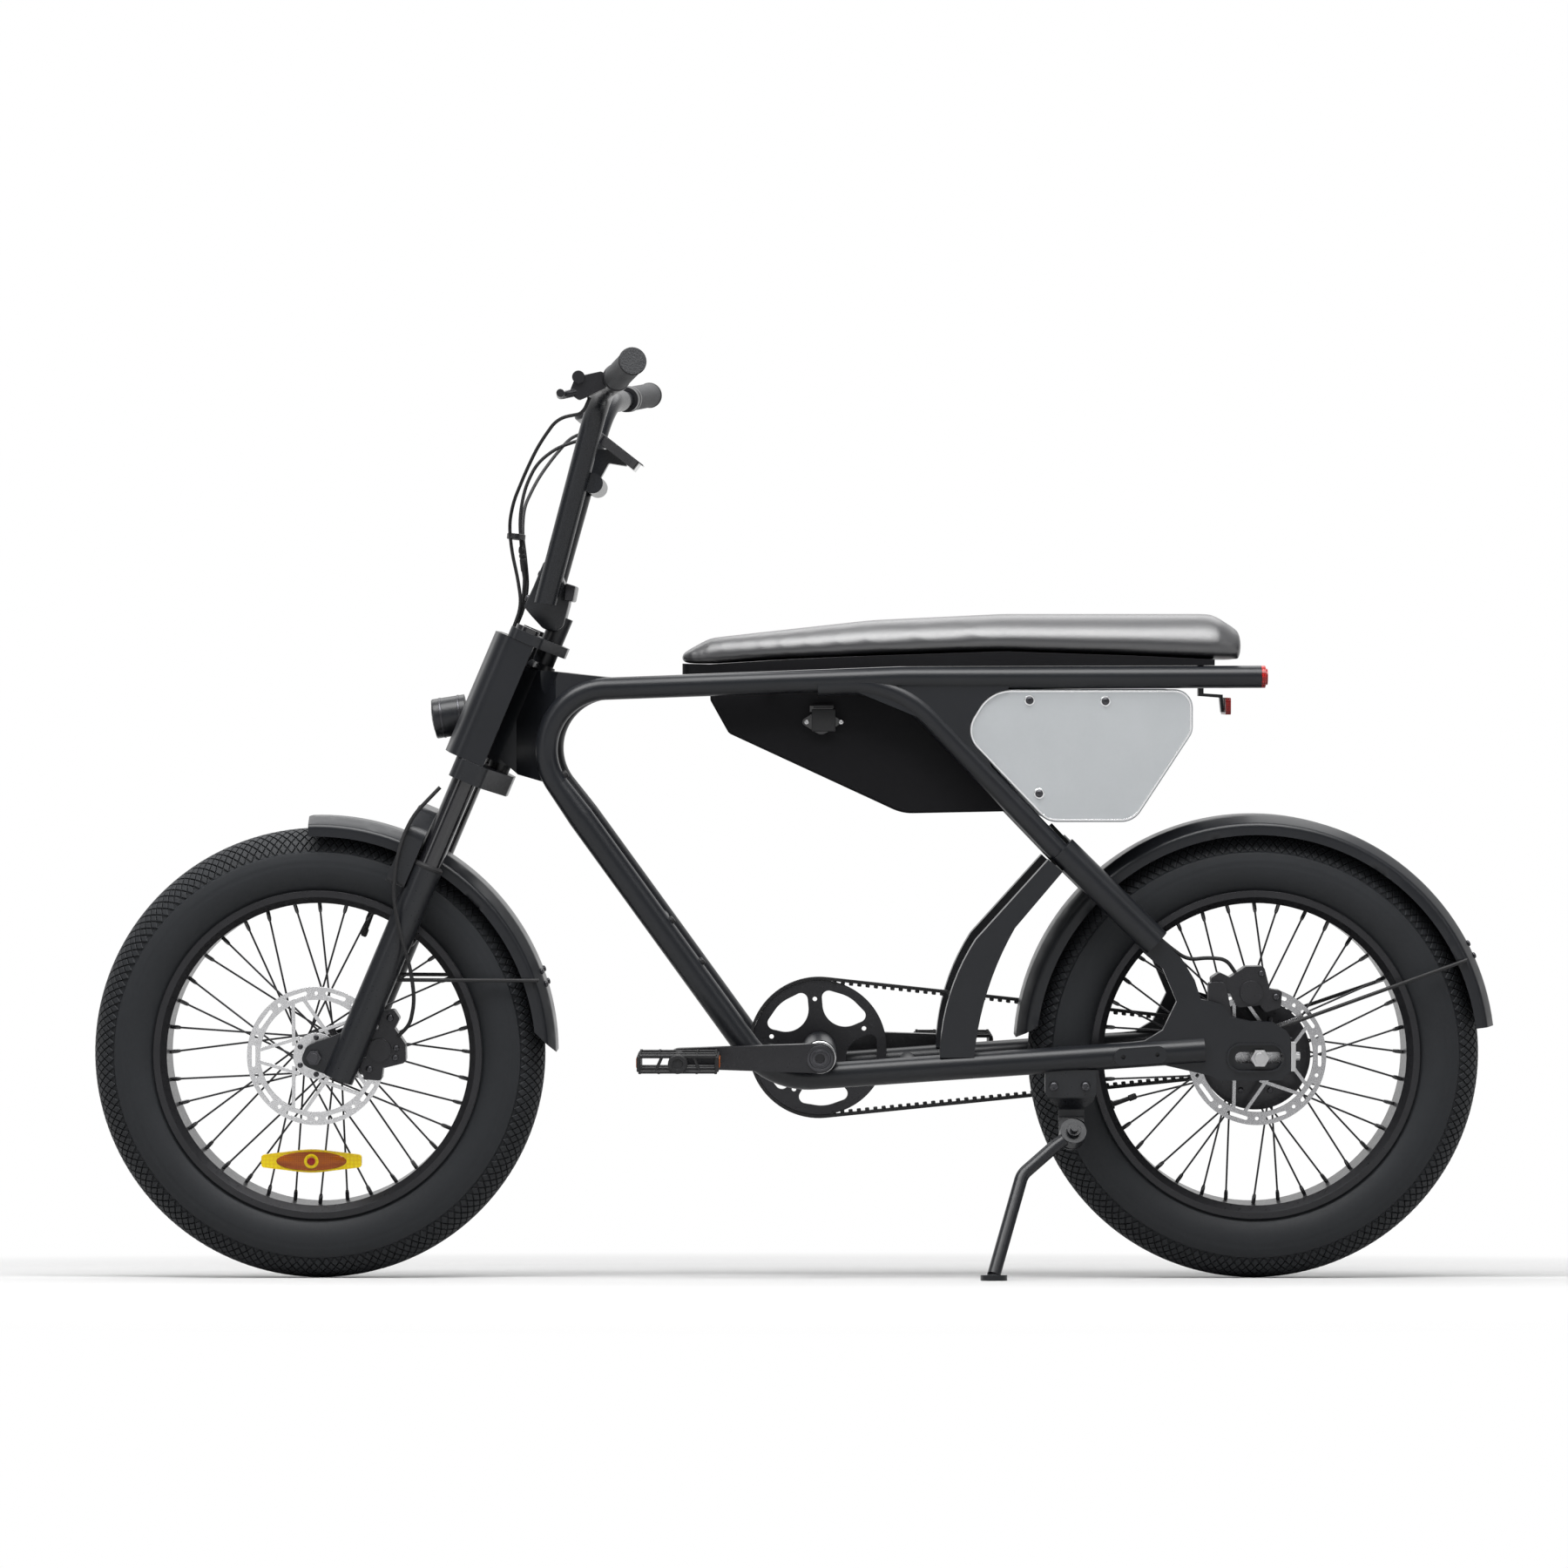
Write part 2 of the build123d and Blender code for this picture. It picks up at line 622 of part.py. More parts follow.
# Charge port cover on the left of the battery case: a diamond flange with a round lid
PORT = (-45.0, 729.0)
PORT_LENGTH = 58.0
PORT_HEIGHT = 36.0
with BuildPart() as charge_port:
    with BuildSketch(side_plane(BATTERY_HALF_WIDTH)):
        with BuildLine():
            FilletPolyline(
                (PORT[0] - PORT_LENGTH / 2, PORT[1]), (PORT[0], PORT[1] - PORT_HEIGHT / 2),
                (PORT[0] + PORT_LENGTH / 2, PORT[1]), (PORT[0], PORT[1] + PORT_HEIGHT / 2),
                radius=(5, 9, 5, 9), close=True,
            )
        make_face()
    extrude(amount=-2.5)
    with BuildSketch(side_plane(BATTERY_HALF_WIDTH + 2.5)):
        with Locations(PORT):
            Circle(15.5)
        with Locations((PORT[0], PORT[1] + 17)):
            Rectangle(30, 8)
    extrude(amount=-6)
pieces["charge_port"] = charge_port

# Seat: base pan on the rails and the long padded cushion

SEAT_BASE_HALF_WIDTH = 92.0


def rail_top(x):
    """The height of the top of the rails at a place along the bike."""
    far_end = RAIL_NOSE if x > RAIL_MIDDLE.X else RAIL_TAIL
    slope = (far_end.Y - RAIL_MIDDLE.Y) / (far_end.X - RAIL_MIDDLE.X)
    return RAIL_MIDDLE.Y + slope * (x - RAIL_MIDDLE.X) + RAIL_DIAMETER / 2 + FIT


# Cushion stations (X, underside Z, top Z, width, corner radius)
CUSHION_STATIONS = (
    (140.0, 805.0, 816.0, 64.0, 5.0),
    (100.0, 804.0, 838.0, 100.0, 12.0),
    (0.0, 810.0, 849.0, 142.0, 16.0),
    (-110.0, 815.0, 861.0, 172.0, 18.0),
    (-280.0, 820.5, 869.0, 196.0, 20.0),
    (-450.0, 815.0, 869.0, 200.0, 22.0),
    (-552.0, 810.0, 869.0, 196.0, 22.0),
    (-588.0, 809.0, 846.0, 176.0, 16.0),
)
base_crest = [(station[0], station[1] - FIT) for station in CUSHION_STATIONS[:-1]]
base_front_x, base_rear_x = base_crest[0][0], base_crest[-1][0]
with BuildPart() as seat_base:
    with BuildSketch(side_plane(0)):
        with BuildLine():
            Polyline(
                *base_crest,
                (base_rear_x, rail_top(base_rear_x)),
                (RAIL_MIDDLE.X, rail_top(RAIL_MIDDLE.X)),
                (base_front_x, rail_top(base_front_x)),
                close=True,
            )
        make_face()
    extrude(amount=SEAT_BASE_HALF_WIDTH, both=True)
    with BuildSketch(Plane.XY.offset(700)):
        with BuildLine():
            FilletPolyline(
                (136, -30), (0, -68), (-220, -92), (-584, -92),
                (-584, 92), (-220, 92), (0, 68), (136, 30),
                radius=(20, 60, 100, 30, 30, 100, 60, 20), close=True,
            )
        make_face()
    extrude(amount=300, mode=Mode.INTERSECT)
pieces["seat_base"] = seat_base

# Cushion: lofted straight from station to station
with BuildPart() as seat_cushion:
    for station_x, under, top, width, corner in CUSHION_STATIONS:
        station = Plane(origin=(station_x, 0, 0), x_dir=(0, 1, 0), z_dir=(1, 0, 0))
        with BuildSketch(station):
            with Locations((0, (under + top) / 2)):
                RectangleRounded(width, top - under, corner)
    loft(ruled=True)
pieces["seat_cushion"] = seat_cushion

# Tail light and rear reflector

with BuildPart() as tail_light:
    for side_name, side in SIDES:
        light_plane = Plane(origin=(RAIL_TAIL.X - FIT, side * LOOP_Y, RAIL_TAIL.Y), z_dir=(-1, 0, 0))
        with BuildSketch(light_plane):
            Circle(RAIL_DIAMETER / 2)
        extrude(amount=5)
        with BuildSketch(light_plane.offset(5)):
            Circle(RAIL_DIAMETER / 2 - 4)
        extrude(amount=3)
pieces["tail_lights"] = tail_light

with BuildPart() as reflector_bracket:
    with BuildSketch(side_plane(0)):
        with BuildLine():
            Polyline((-540.0, 762.0), (-566.0, 760.0), (-568.0, 741.0), (-571.0, 741.0),
                     (-570.0, 764.0), (-540.0, 766.0), close=True)
        make_face()
    extrude(amount=8, both=True)
    with BuildSketch(side_plane(0)):
        Polygon((-538, 762), (-545, 762), (-545, rail_top(-545)), (-538, rail_top(-538)),
                align=None)
    extrude(amount=8, both=True)
pieces["reflector_bracket"] = reflector_bracket

REAR_REFLECTOR = (70.0, 22.0, 7.0)
with BuildPart() as rear_reflector:
    with Locations((-571.0 - FIT - REAR_REFLECTOR[2] / 2, 0, 749.0)):
        Box(REAR_REFLECTOR[2], REAR_REFLECTOR[0], REAR_REFLECTOR[1])
    fillet(rear_reflector.edges().filter_by(Axis.X), 5)
pieces["rear_reflector"] = rear_reflector

# Reflector across the front wheel's spokes, below the axle
REFLECTOR_LENGTH = 131.0
REFLECTOR_HEIGHT = 28.0
REFLECTOR_END_HEIGHT = 16.0
REFLECTOR_THICKNESS = 7.0
REFLECTOR_RADIUS = 140.0
REFLECTOR_AHEAD = 9.5
REFLECTOR_Y = 20.5
with BuildPart() as wheel_reflector:
    reflector_x = FRONT_X + REFLECTOR_AHEAD
    reflector_z = AXLE_Z - REFLECTOR_RADIUS
    # (along, up) in halves of the length and height
    reflector_outline = [
        (reflector_x + along * REFLECTOR_LENGTH / 2, reflector_z + up)
        for along, up in (
            (-1, -REFLECTOR_END_HEIGHT / 2), (0, -REFLECTOR_HEIGHT / 2 - 2),
            (1, -REFLECTOR_END_HEIGHT / 2), (1, REFLECTOR_END_HEIGHT / 2),
            (0, REFLECTOR_HEIGHT / 2 + 2), (-1, REFLECTOR_END_HEIGHT / 2),
        )
    ]
    with BuildSketch(side_plane(REFLECTOR_Y)):
        with BuildLine():
            FilletPolyline(*reflector_outline, radius=(4, 120, 4, 4, 120, 4), close=True)
        make_face()
    extrude(amount=-REFLECTOR_THICKNESS)
pieces["wheel_reflector"] = wheel_reflector

# Rear axle with its nuts and the slot plates

REAR_NUT_DIAMETER = 24.0
REAR_NUT_HEIGHT = 12.0
REAR_AXLE_PAST_NUT = 4.0
with BuildPart() as rear_axle:
    with BuildSketch(side_plane(0)):
        with Locations((REAR_X, AXLE_Z)):
            Circle(REAR_AXLE_DIAMETER / 2)
    nut_seat_y = AXLE_END_Y - RECESS_DEPTH + FIT
    extrude(amount=nut_seat_y + REAR_NUT_HEIGHT + REAR_AXLE_PAST_NUT, both=True)
    for side_name, side in SIDES:
        with BuildSketch(side_plane(side * nut_seat_y)):
            with Locations((REAR_X, AXLE_Z)):
                RegularPolygon(REAR_NUT_DIAMETER / 2, 6)
        extrude(amount=-side * REAR_NUT_HEIGHT)
        with BuildSketch(side_plane(side * (AXLE_END_Y - DROPOUT_THICKNESS - FIT))):
            with Locations((REAR_X, AXLE_Z)):
                Circle(11)
        extrude(amount=side * 3)
pieces["rear_axle"] = rear_axle

with BuildPart() as axle_tensioners:
    for side_name, side in SIDES:
        with BuildSketch(side_plane(side * LOOP_Y)):
            with Locations((-654.5, AXLE_Z + 2)):
                Rectangle(6, 38)
        extrude(amount=8, both=True)
        with BuildSketch(Plane(origin=(-657.5, side * LOOP_Y, AXLE_Z + 2), z_dir=(-1, 0, 0))):
            RegularPolygon(5.5, 6)
        extrude(amount=6)
pieces["axle_tensioners"] = axle_tensioners

# Plates on the chainstays, with two holes for a carrier
CARRIER_HOLE_SPACING = 44.0
CARRIER_PLATE = (-456.0, 299.0)
CARRIER_PLATE_LENGTH = 68.0
CARRIER_PLATE_HEIGHT = 22.0
CARRIER_HOLE = 5.5
CARRIER_PLATE_THICKNESS = 4.0
for side_name, side in SIDES:
    with BuildPart() as carrier_plate:
        plate_y = side * (LOOP_Y + DOWNTUBE_DIAMETER / 2 + FIT)
        with BuildSketch(side_plane(plate_y)):
            with Locations(CARRIER_PLATE):
                SlotOverall(CARRIER_PLATE_LENGTH, CARRIER_PLATE_HEIGHT, rotation=-4)
                with PolarLocations(CARRIER_HOLE_SPACING / 2, 2, start_angle=-4):
                    Circle(CARRIER_HOLE / 2, mode=Mode.SUBTRACT)
        extrude(amount=-side * CARRIER_PLATE_THICKNESS)
    pieces[f"carrier_plate_{side_name}"] = carrier_plate

# Belt: a band round the chainring and the rear pulley

belt_span = hypot(BB_X - REAR_X, BB_Z - AXLE_Z)
belt_rise = atan2(BB_Z - AXLE_Z, BB_X - REAR_X)
belt_spread = asin((BELT_OUTER_FRONT - BELT_OUTER_REAR) / belt_span)


def belt_face(inset):
    """The face inside the closed path of the belt, moved inward by an inset."""
    front_radius = BELT_OUTER_FRONT - inset
    rear_radius = BELT_OUTER_REAR - inset
    ends = {}
    for turn_side in (1, -1):
        turn = belt_rise + turn_side * (pi / 2 + belt_spread)
        front = (BB_X + front_radius * cos(turn), BB_Z + front_radius * sin(turn))
        rear = (REAR_X + rear_radius * cos(turn), AXLE_Z + rear_radius * sin(turn))
        ends[turn_side] = (front, rear)
    nose = (BB_X + front_radius * cos(belt_rise), BB_Z + front_radius * sin(belt_rise))
    back = (REAR_X - rear_radius * cos(belt_rise), AXLE_Z - rear_radius * sin(belt_rise))
    with BuildSketch(side_plane(BELT_Y)) as outline:
        with BuildLine():
            Line(*ends[1])
            Line(*ends[-1])
            ThreePointArc(ends[1][0], nose, ends[-1][0])
            ThreePointArc(ends[1][1], back, ends[-1][1])
        make_face()
    return outline.sketch


with BuildPart() as belt:
    extrude(belt_face(0), amount=BELT_WIDTH / 2, both=True)
    extrude(belt_face(BELT_THICKNESS), amount=BELT_WIDTH, both=True, mode=Mode.SUBTRACT)
pieces["belt"] = belt

ring_radius = BELT_OUTER_FRONT - BELT_THICKNESS - FIT
pulley_radius = BELT_OUTER_REAR - BELT_THICKNESS - FIT
with BuildPart() as rear_pulley:
    with BuildSketch(side_plane(BELT_Y)):
        with Locations((REAR_X, AXLE_Z)):
            Circle(pulley_radius)
            Circle(PULLEY_SEAT_RADIUS + FIT / 3, mode=Mode.SUBTRACT)
    extrude(amount=BELT_WIDTH / 2, both=True)
pieces["rear_pulley"] = rear_pulley

# Crank: spindle, two arms and the chainring inside the right loop

RING_THICKNESS = 6.0
RING_BAND = 13.0
RING_ARMS = 5
RING_FIRST_ARM = 85.0
RING_ARM_WIDTH = 18.4
RING_HOLE_RADIUS = 64.5
RING_HOLE = 6.0
WINDOW_INNER_ROUND = 30.0
WINDOW_OUTER_ROUND = 9.0
window_radius = ring_radius - RING_BAND
arm_pitch = 2 * pi / RING_ARMS
window_half = arm_pitch / 2 - asin(RING_ARM_WIDTH / 2 / window_radius)
window_corner = window_radius / cos(window_half / 2)
with BuildPart() as chainring:
    with BuildSketch(side_plane(BELT_Y)):
        with Locations((BB_X, BB_Z)):
            Circle(ring_radius)
            Circle(SPINDLE_DIAMETER / 2 + FIT / 3, mode=Mode.SUBTRACT)
            with PolarLocations(RING_HOLE_RADIUS, RING_ARMS, start_angle=RING_FIRST_ARM):
                Circle(RING_HOLE / 2, mode=Mode.SUBTRACT)
    extrude(amount=RING_THICKNESS / 2, both=True)
    for number in range(RING_ARMS):
        middle_turn = radians(RING_FIRST_ARM) + arm_pitch * (number + 0.5)
        # (turn from the middle of the window, radius)
        window_points = [
            (BB_X + radius * cos(middle_turn + turn), BB_Z + radius * sin(middle_turn + turn))
            for turn, radius in (
                (0, RING_ARM_WIDTH / 2 / sin(arm_pitch / 2)),
                (window_half, window_corner),
                (0, window_corner),
                (-window_half, window_corner),
            )
        ]
        with BuildSketch(side_plane(BELT_Y)):
            with BuildLine():
                FilletPolyline(
                    *window_points,
                    radius=(WINDOW_INNER_ROUND, WINDOW_OUTER_ROUND, window_radius * 0.6,
                            WINDOW_OUTER_ROUND),
                    close=True,
                )
            make_face()
        extrude(amount=RING_THICKNESS, both=True, mode=Mode.SUBTRACT)
pieces["chainring"] = chainring

ARM_ROOT_RADIUS = 19.0
ARM_TIP_RADIUS = 13.0
with BuildPart() as crank:
    with BuildSketch(side_plane(0)):
        with Locations((BB_X, BB_Z)):
            Circle(SPINDLE_DIAMETER / 2)
    extrude(amount=CRANK_Y + CRANK_THICKNESS - 3, both=True)
    for side_name, side in SIDES:
        with BuildSketch(side_plane(side * CRANK_Y)):
            with BuildLine():
                tip_x = BB_X + side * CRANK_LENGTH
                Line((BB_X, BB_Z + ARM_ROOT_RADIUS), (tip_x, BB_Z + ARM_TIP_RADIUS))
                ThreePointArc(
                    (tip_x, BB_Z + ARM_TIP_RADIUS),
                    (tip_x + side * ARM_TIP_RADIUS, BB_Z),
                    (tip_x, BB_Z - ARM_TIP_RADIUS),
                )
                Line((tip_x, BB_Z - ARM_TIP_RADIUS), (BB_X, BB_Z - ARM_ROOT_RADIUS))
                ThreePointArc(
                    (BB_X, BB_Z - ARM_ROOT_RADIUS),
                    (BB_X - side * ARM_ROOT_RADIUS, BB_Z),
                    (BB_X, BB_Z + ARM_ROOT_RADIUS),
                )
            make_face()
            with Locations((tip_x, BB_Z)):
                Circle(PEDAL_AXLE_DIAMETER / 2 + FIT, mode=Mode.SUBTRACT)
        extrude(amount=-side * CRANK_THICKNESS)
pieces["crank"] = crank

# Pedals: an axle core, two end bars and two side rails with reflectors

pedal_middle = CRANK_Y + CRANK_THICKNESS + RUNNING_GAP + PEDAL_WIDTH / 2
for side_name, side in SIDES:
    pedal_x = BB_X + side * CRANK_LENGTH
    with BuildPart() as pedal:
        with BuildSketch(side_plane(side * pedal_middle)):
            with Locations((pedal_x, BB_Z)):
                RectangleRounded(PEDAL_LENGTH, PEDAL_HEIGHT, 6)
        extrude(amount=PEDAL_WIDTH / 2, both=True)
        for end in (-1, 1):
            with Locations((pedal_x + end * PEDAL_LENGTH / 4, side * pedal_middle, BB_Z)):
                Box(PEDAL_LENGTH / 2 - 26, PEDAL_WIDTH - 24, PEDAL_HEIGHT * 2,
                    mode=Mode.SUBTRACT)
        with BuildSketch(side_plane(side * (CRANK_Y + 1))):
            with Locations((pedal_x, BB_Z)):
                Circle(PEDAL_AXLE_DIAMETER / 2)
        extrude(amount=-side * (pedal_middle - CRANK_Y))
    pieces[f"{side_name}_pedal"] = pedal

# Rear fender: an arched shell over the wheel, with its stays

FENDER_THICKNESS = 2.5
REAR_FENDER_RADIUS = TYRE_RADIUS + 18.0
REAR_FENDER_HALF_WIDTH = 54.0
REAR_FENDER_SKIRT = 26.0
REAR_FENDER_START = 3.0
REAR_FENDER_SPAN = 170.0


def fender_section(axle_x, outer_radius, half_width, skirt):
    """The section of a fender behind its axle: a crown with two skirts beside the tyre."""
    level = Plane(origin=(axle_x, 0, AXLE_Z), x_dir=(0, 1, 0), z_dir=(1, 0, 0))
    outline = []
    for inset in (0, FENDER_THICKNESS):
        side_points = [
            (half_width - inset, outer_radius - skirt),
            (half_width - inset, outer_radius - skirt * 0.45),
            (half_width * 0.6, outer_radius - inset),
        ]
        if inset:
            outline += [(-y, z) for y, z in side_points] + side_points[::-1]
        else:
            outline += side_points + [(-y, z) for y, z in side_points[::-1]]
    with BuildSketch(level) as section:
        with BuildLine():
            FilletPolyline(*outline, radius=(0, 8, 14, 14, 8, 0, 0, 6, 12, 12, 6, 0), close=True)
        make_face()
    return section.sketch


FENDER_AXIS_DIRECTION = (0, -1, 0)
rear_wheel_axis = Axis((REAR_X, 0, AXLE_Z), FENDER_AXIS_DIRECTION)
rear_fender_section = fender_section(
    REAR_X, REAR_FENDER_RADIUS, REAR_FENDER_HALF_WIDTH, REAR_FENDER_SKIRT
).rotate(rear_wheel_axis, REAR_FENDER_START - 90)
with BuildPart() as rear_fender:
    revolve(rear_fender_section, axis=rear_wheel_axis, revolution_arc=REAR_FENDER_SPAN)
pieces["rear_fender"] = rear_fender

# Fork: steerer and crowns, stanchions, lower legs with the arch

CROWN_THICKNESS = 15.0
LOWER_CROWN_LOW = 405.0
LOWER_CROWN_THICKNESS = 27.0
UPPER_CROWN_LOW = 600.0
UPPER_CROWN_THICKNESS = 14.0
CROWN_CLAMP_RADIUS = 21.0
CROWN_HUB_RADIUS = 24.0
STANCHION_LOW = 60.0
LEG_TOP = 282.0
LEG_LOW = -14.0
DROPOUT_LUG_RADIUS = 15.0


def crown_face(crown_low):
    """A fork crown seen along the steering axis: a hub and two clamps joined by a bridge."""
    outline = [
        (LEG_F - CROWN_CLAMP_RADIUS, LEG_Y + CROWN_CLAMP_RADIUS),
        (LEG_F + CROWN_CLAMP_RADIUS, LEG_Y + CROWN_CLAMP_RADIUS),
        (LEG_F + CROWN_CLAMP_RADIUS, LEG_Y - CROWN_CLAMP_RADIUS * 1.2),
        (CROWN_HUB_RADIUS, CROWN_HUB_RADIUS),
    ]
    outline += [(ahead, -y) for ahead, y in outline[::-1]]
    outline += [(-CROWN_HUB_RADIUS, -CROWN_HUB_RADIUS), (-CROWN_HUB_RADIUS, CROWN_HUB_RADIUS)]
    with BuildSketch(crown_plane(crown_low)) as section:
        with BuildLine():
            FilletPolyline(
                *outline, radius=(14, 14, 10, 8, 8, 10, 14, 14, 12, 12), close=True
            )
        make_face()
        with Locations((LEG_F, LEG_Y), (LEG_F, -LEG_Y)):
            Circle(STANCHION_DIAMETER / 2, mode=Mode.SUBTRACT)
    return section.sketch


with BuildPart() as fork_crowns:
    # (height along the axis, thickness)
    for crown_low, crown_thickness in (
        (LOWER_CROWN_LOW, LOWER_CROWN_THICKNESS),
        (UPPER_CROWN_LOW, UPPER_CROWN_THICKNESS),
    ):
        extrude(crown_face(crown_low), amount=crown_thickness)
    with BuildSketch(crown_plane(LOWER_CROWN_LOW)):
        Circle(STEERER_DIAMETER / 2)
    extrude(amount=UPPER_CROWN_LOW + UPPER_CROWN_THICKNESS + 36 - LOWER_CROWN_LOW)
    with BuildSketch(crown_plane(HEAD_TUBE_TOP + RUNNING_GAP / 2)):
        Circle(HEAD_TUBE_DIAMETER / 2 - 6)
    extrude(amount=8, taper=20)
pieces["fork_crowns"] = fork_crowns

with BuildPart() as stanchions:
    with BuildSketch(crown_plane(LEG_TOP - 40)):
        with Locations((LEG_F, LEG_Y), (LEG_F, -LEG_Y)):
            Circle(STANCHION_DIAMETER / 2)
    extrude(amount=UPPER_CROWN_LOW + UPPER_CROWN_THICKNESS + 6 - LEG_TOP + 40)
pieces["stanchions"] = stanchions

FRONT_FENDER_RADIUS = TYRE_RADIUS + 16.0
ARCH_TOP = 352.0
ARCH_REAR = 48.5
ARCH_FRONT = 74.0
with BuildPart() as fork_lowers:
    for side_name, side in SIDES:
        with BuildSketch(crown_plane(LEG_LOW)):
            with Locations((LEG_F, side * LEG_Y)):
                Circle(LOWER_LEG_DIAMETER / 2)
        extrude(amount=LEG_TOP - LEG_LOW)
        with BuildSketch(fork_side_plane(side * (LEG_Y - 4))):
            with BuildLine():
                FilletPolyline(
                    (LEG_F, 42), (LEG_F + 16, 46), (FORK_OFFSET + 15, 10),
                    (FORK_OFFSET + 15, -15), (FORK_OFFSET - 12, -15), (LEG_F, -13),
                    radius=(1, 6, 12, 12, 6, 1), close=True,
                )
            make_face()
            with Locations((FORK_OFFSET, 0)):
                Circle(FRONT_AXLE_DIAMETER / 2, mode=Mode.SUBTRACT)
        extrude(amount=7, both=True)
    with BuildSketch(Plane(origin=steer_point(ARCH_FRONT, 0, 0), x_dir=(0, -1, 0),
                           z_dir=STEER_AHEAD * -1)):
        with BuildLine():
            FilletPolyline(
                (-LEG_Y - 15, LEG_TOP - 34), (-LEG_Y - 15, ARCH_TOP - 30),
                (-LEG_Y + 20, ARCH_TOP), (LEG_Y - 20, ARCH_TOP),
                (LEG_Y + 15, ARCH_TOP - 30), (LEG_Y + 15, LEG_TOP - 34),
                (LEG_Y - 14, LEG_TOP - 34), (LEG_Y - 14, ARCH_TOP - 44),
                (LEG_Y - 32, ARCH_TOP - 22), (-LEG_Y + 32, ARCH_TOP - 22),
                (-LEG_Y + 14, ARCH_TOP - 44), (-LEG_Y + 14, LEG_TOP - 34),
                radius=(6, 20, 20, 20, 20, 6, 2, 10, 10, 10, 10, 2), close=True,
            )
        make_face()
    extrude(amount=ARCH_FRONT - ARCH_REAR)
    with BuildSketch(crown_plane(ARCH_TOP - 20)):
        with Locations(((ARCH_FRONT + ARCH_REAR) / 2, 0)):
            Rectangle(ARCH_FRONT - ARCH_REAR - 4, 28)
    extrude(amount=-(ARCH_TOP - 20 - FRONT_FENDER_RADIUS - FIT))
    for side_name, side in SIDES:
        with BuildSketch(crown_plane(LEG_TOP - 42)):
            with Locations((LEG_F, side * LEG_Y)):
                Circle(STANCHION_DIAMETER / 2)
        extrude(amount=60, mode=Mode.SUBTRACT)
pieces["fork_lowers"] = fork_lowers

# Cowl: a deep U-shaped cover round the front of the fork between the crowns

COWL_LOW = LOWER_CROWN_LOW + LOWER_CROWN_THICKNESS + FIT
COWL_HIGH = UPPER_CROWN_LOW - FIT
COWL_REAR = 15.0
COWL_FRONT = 70.0
COWL_HALF_WIDTH = LEG_Y + 20.0
COWL_WALL = 3.0
with BuildPart() as cowl:
    with BuildSketch(crown_plane(COWL_LOW)):
        with BuildLine():
            FilletPolyline(
                (COWL_REAR, -COWL_HALF_WIDTH), (COWL_FRONT - 10, -COWL_HALF_WIDTH),
                (COWL_FRONT, -COWL_HALF_WIDTH + 36), (COWL_FRONT, COWL_HALF_WIDTH - 36),
                (COWL_FRONT - 10, COWL_HALF_WIDTH), (COWL_REAR, COWL_HALF_WIDTH),
                (COWL_REAR, COWL_HALF_WIDTH - COWL_WALL),
                (COWL_FRONT - 13, COWL_HALF_WIDTH - COWL_WALL),
                (COWL_FRONT - COWL_WALL, COWL_HALF_WIDTH - 38),
                (COWL_FRONT - COWL_WALL, -COWL_HALF_WIDTH + 38),
                (COWL_FRONT - 13, -COWL_HALF_WIDTH + COWL_WALL),
                (COWL_REAR, -COWL_HALF_WIDTH + COWL_WALL),
                radius=(1, 22, 22, 22, 22, 1, 1, 18, 18, 18, 18, 1), close=True,
            )
        make_face()
    extrude(amount=COWL_HIGH - COWL_LOW)
    with BuildSketch(crown_plane(COWL_HIGH)):
        with Locations(((42 + COWL_FRONT - 2) / 2, 0)):
            Rectangle(COWL_FRONT - 2 - 42, 116)
    extrude(amount=-3)
pieces["cowl"] = cowl

# Headlight: a tapered can with a lens, on a bracket at the front of the cowl

LAMP_DIAMETER = 52.0
LAMP_LENGTH = 40.0
LAMP_DROOP = 9.0
LAMP_FACE = Vector(457.7, 0, 732.5)
lamp_out = Vector(cos(radians(LAMP_DROOP)), 0, -sin(radians(LAMP_DROOP)))
with BuildPart() as headlight:
    with BuildSketch(Plane(origin=LAMP_FACE, z_dir=lamp_out)):
        Circle(LAMP_DIAMETER / 2)
    extrude(amount=-LAMP_LENGTH)
    with BuildSketch(crown_plane(COWL_LOW)):
        Rectangle(2 * COWL_FRONT + 0.6, 300)
    extrude(amount=COWL_HIGH - COWL_LOW, mode=Mode.SUBTRACT)
pieces["headlight"] = headlight

# Stem: a wide foot on the steerer that takes both uprights, with a front cover

STEM_HALF_WIDTH = 70.0
STEM_LOW = UPPER_CROWN_LOW + UPPER_CROWN_THICKNESS + 6.5
with BuildPart() as stem:
    with BuildSketch(fork_side_plane(0)):
        with BuildLine():
            FilletPolyline(
                (-14, STEM_LOW + 12), (-2, STEM_LOW), (20, STEM_LOW), (40, STEM_LOW + 14),
                (42, STEM_LOW + 32), (-6, STEM_LOW + 44), (-14, STEM_LOW + 40),
                radius=(6, 8, 10, 8, 2, 4, 4), close=True,
            )
        make_face()
    extrude(amount=STEM_HALF_WIDTH, both=True)
    with BuildSketch(fork_side_plane(0)):
        with BuildLine():
            FilletPolyline(
                (28, STEM_LOW + 20), (41, STEM_LOW + 14), (46, STEM_LOW + 62),
                (42, STEM_LOW + 92), (34, STEM_LOW + 92),
                radius=(1, 8, 10, 3, 3), close=True,
            )
        make_face()
    extrude(amount=30, both=True)
    with BuildSketch(crown_plane(STEM_LOW - 20)):
        Circle(STEERER_DIAMETER / 2)
    extrude(amount=62, mode=Mode.SUBTRACT)
pieces["stem"] = stem

# Handlebar: two uprights joined through the clamp, swept out and back to the grips

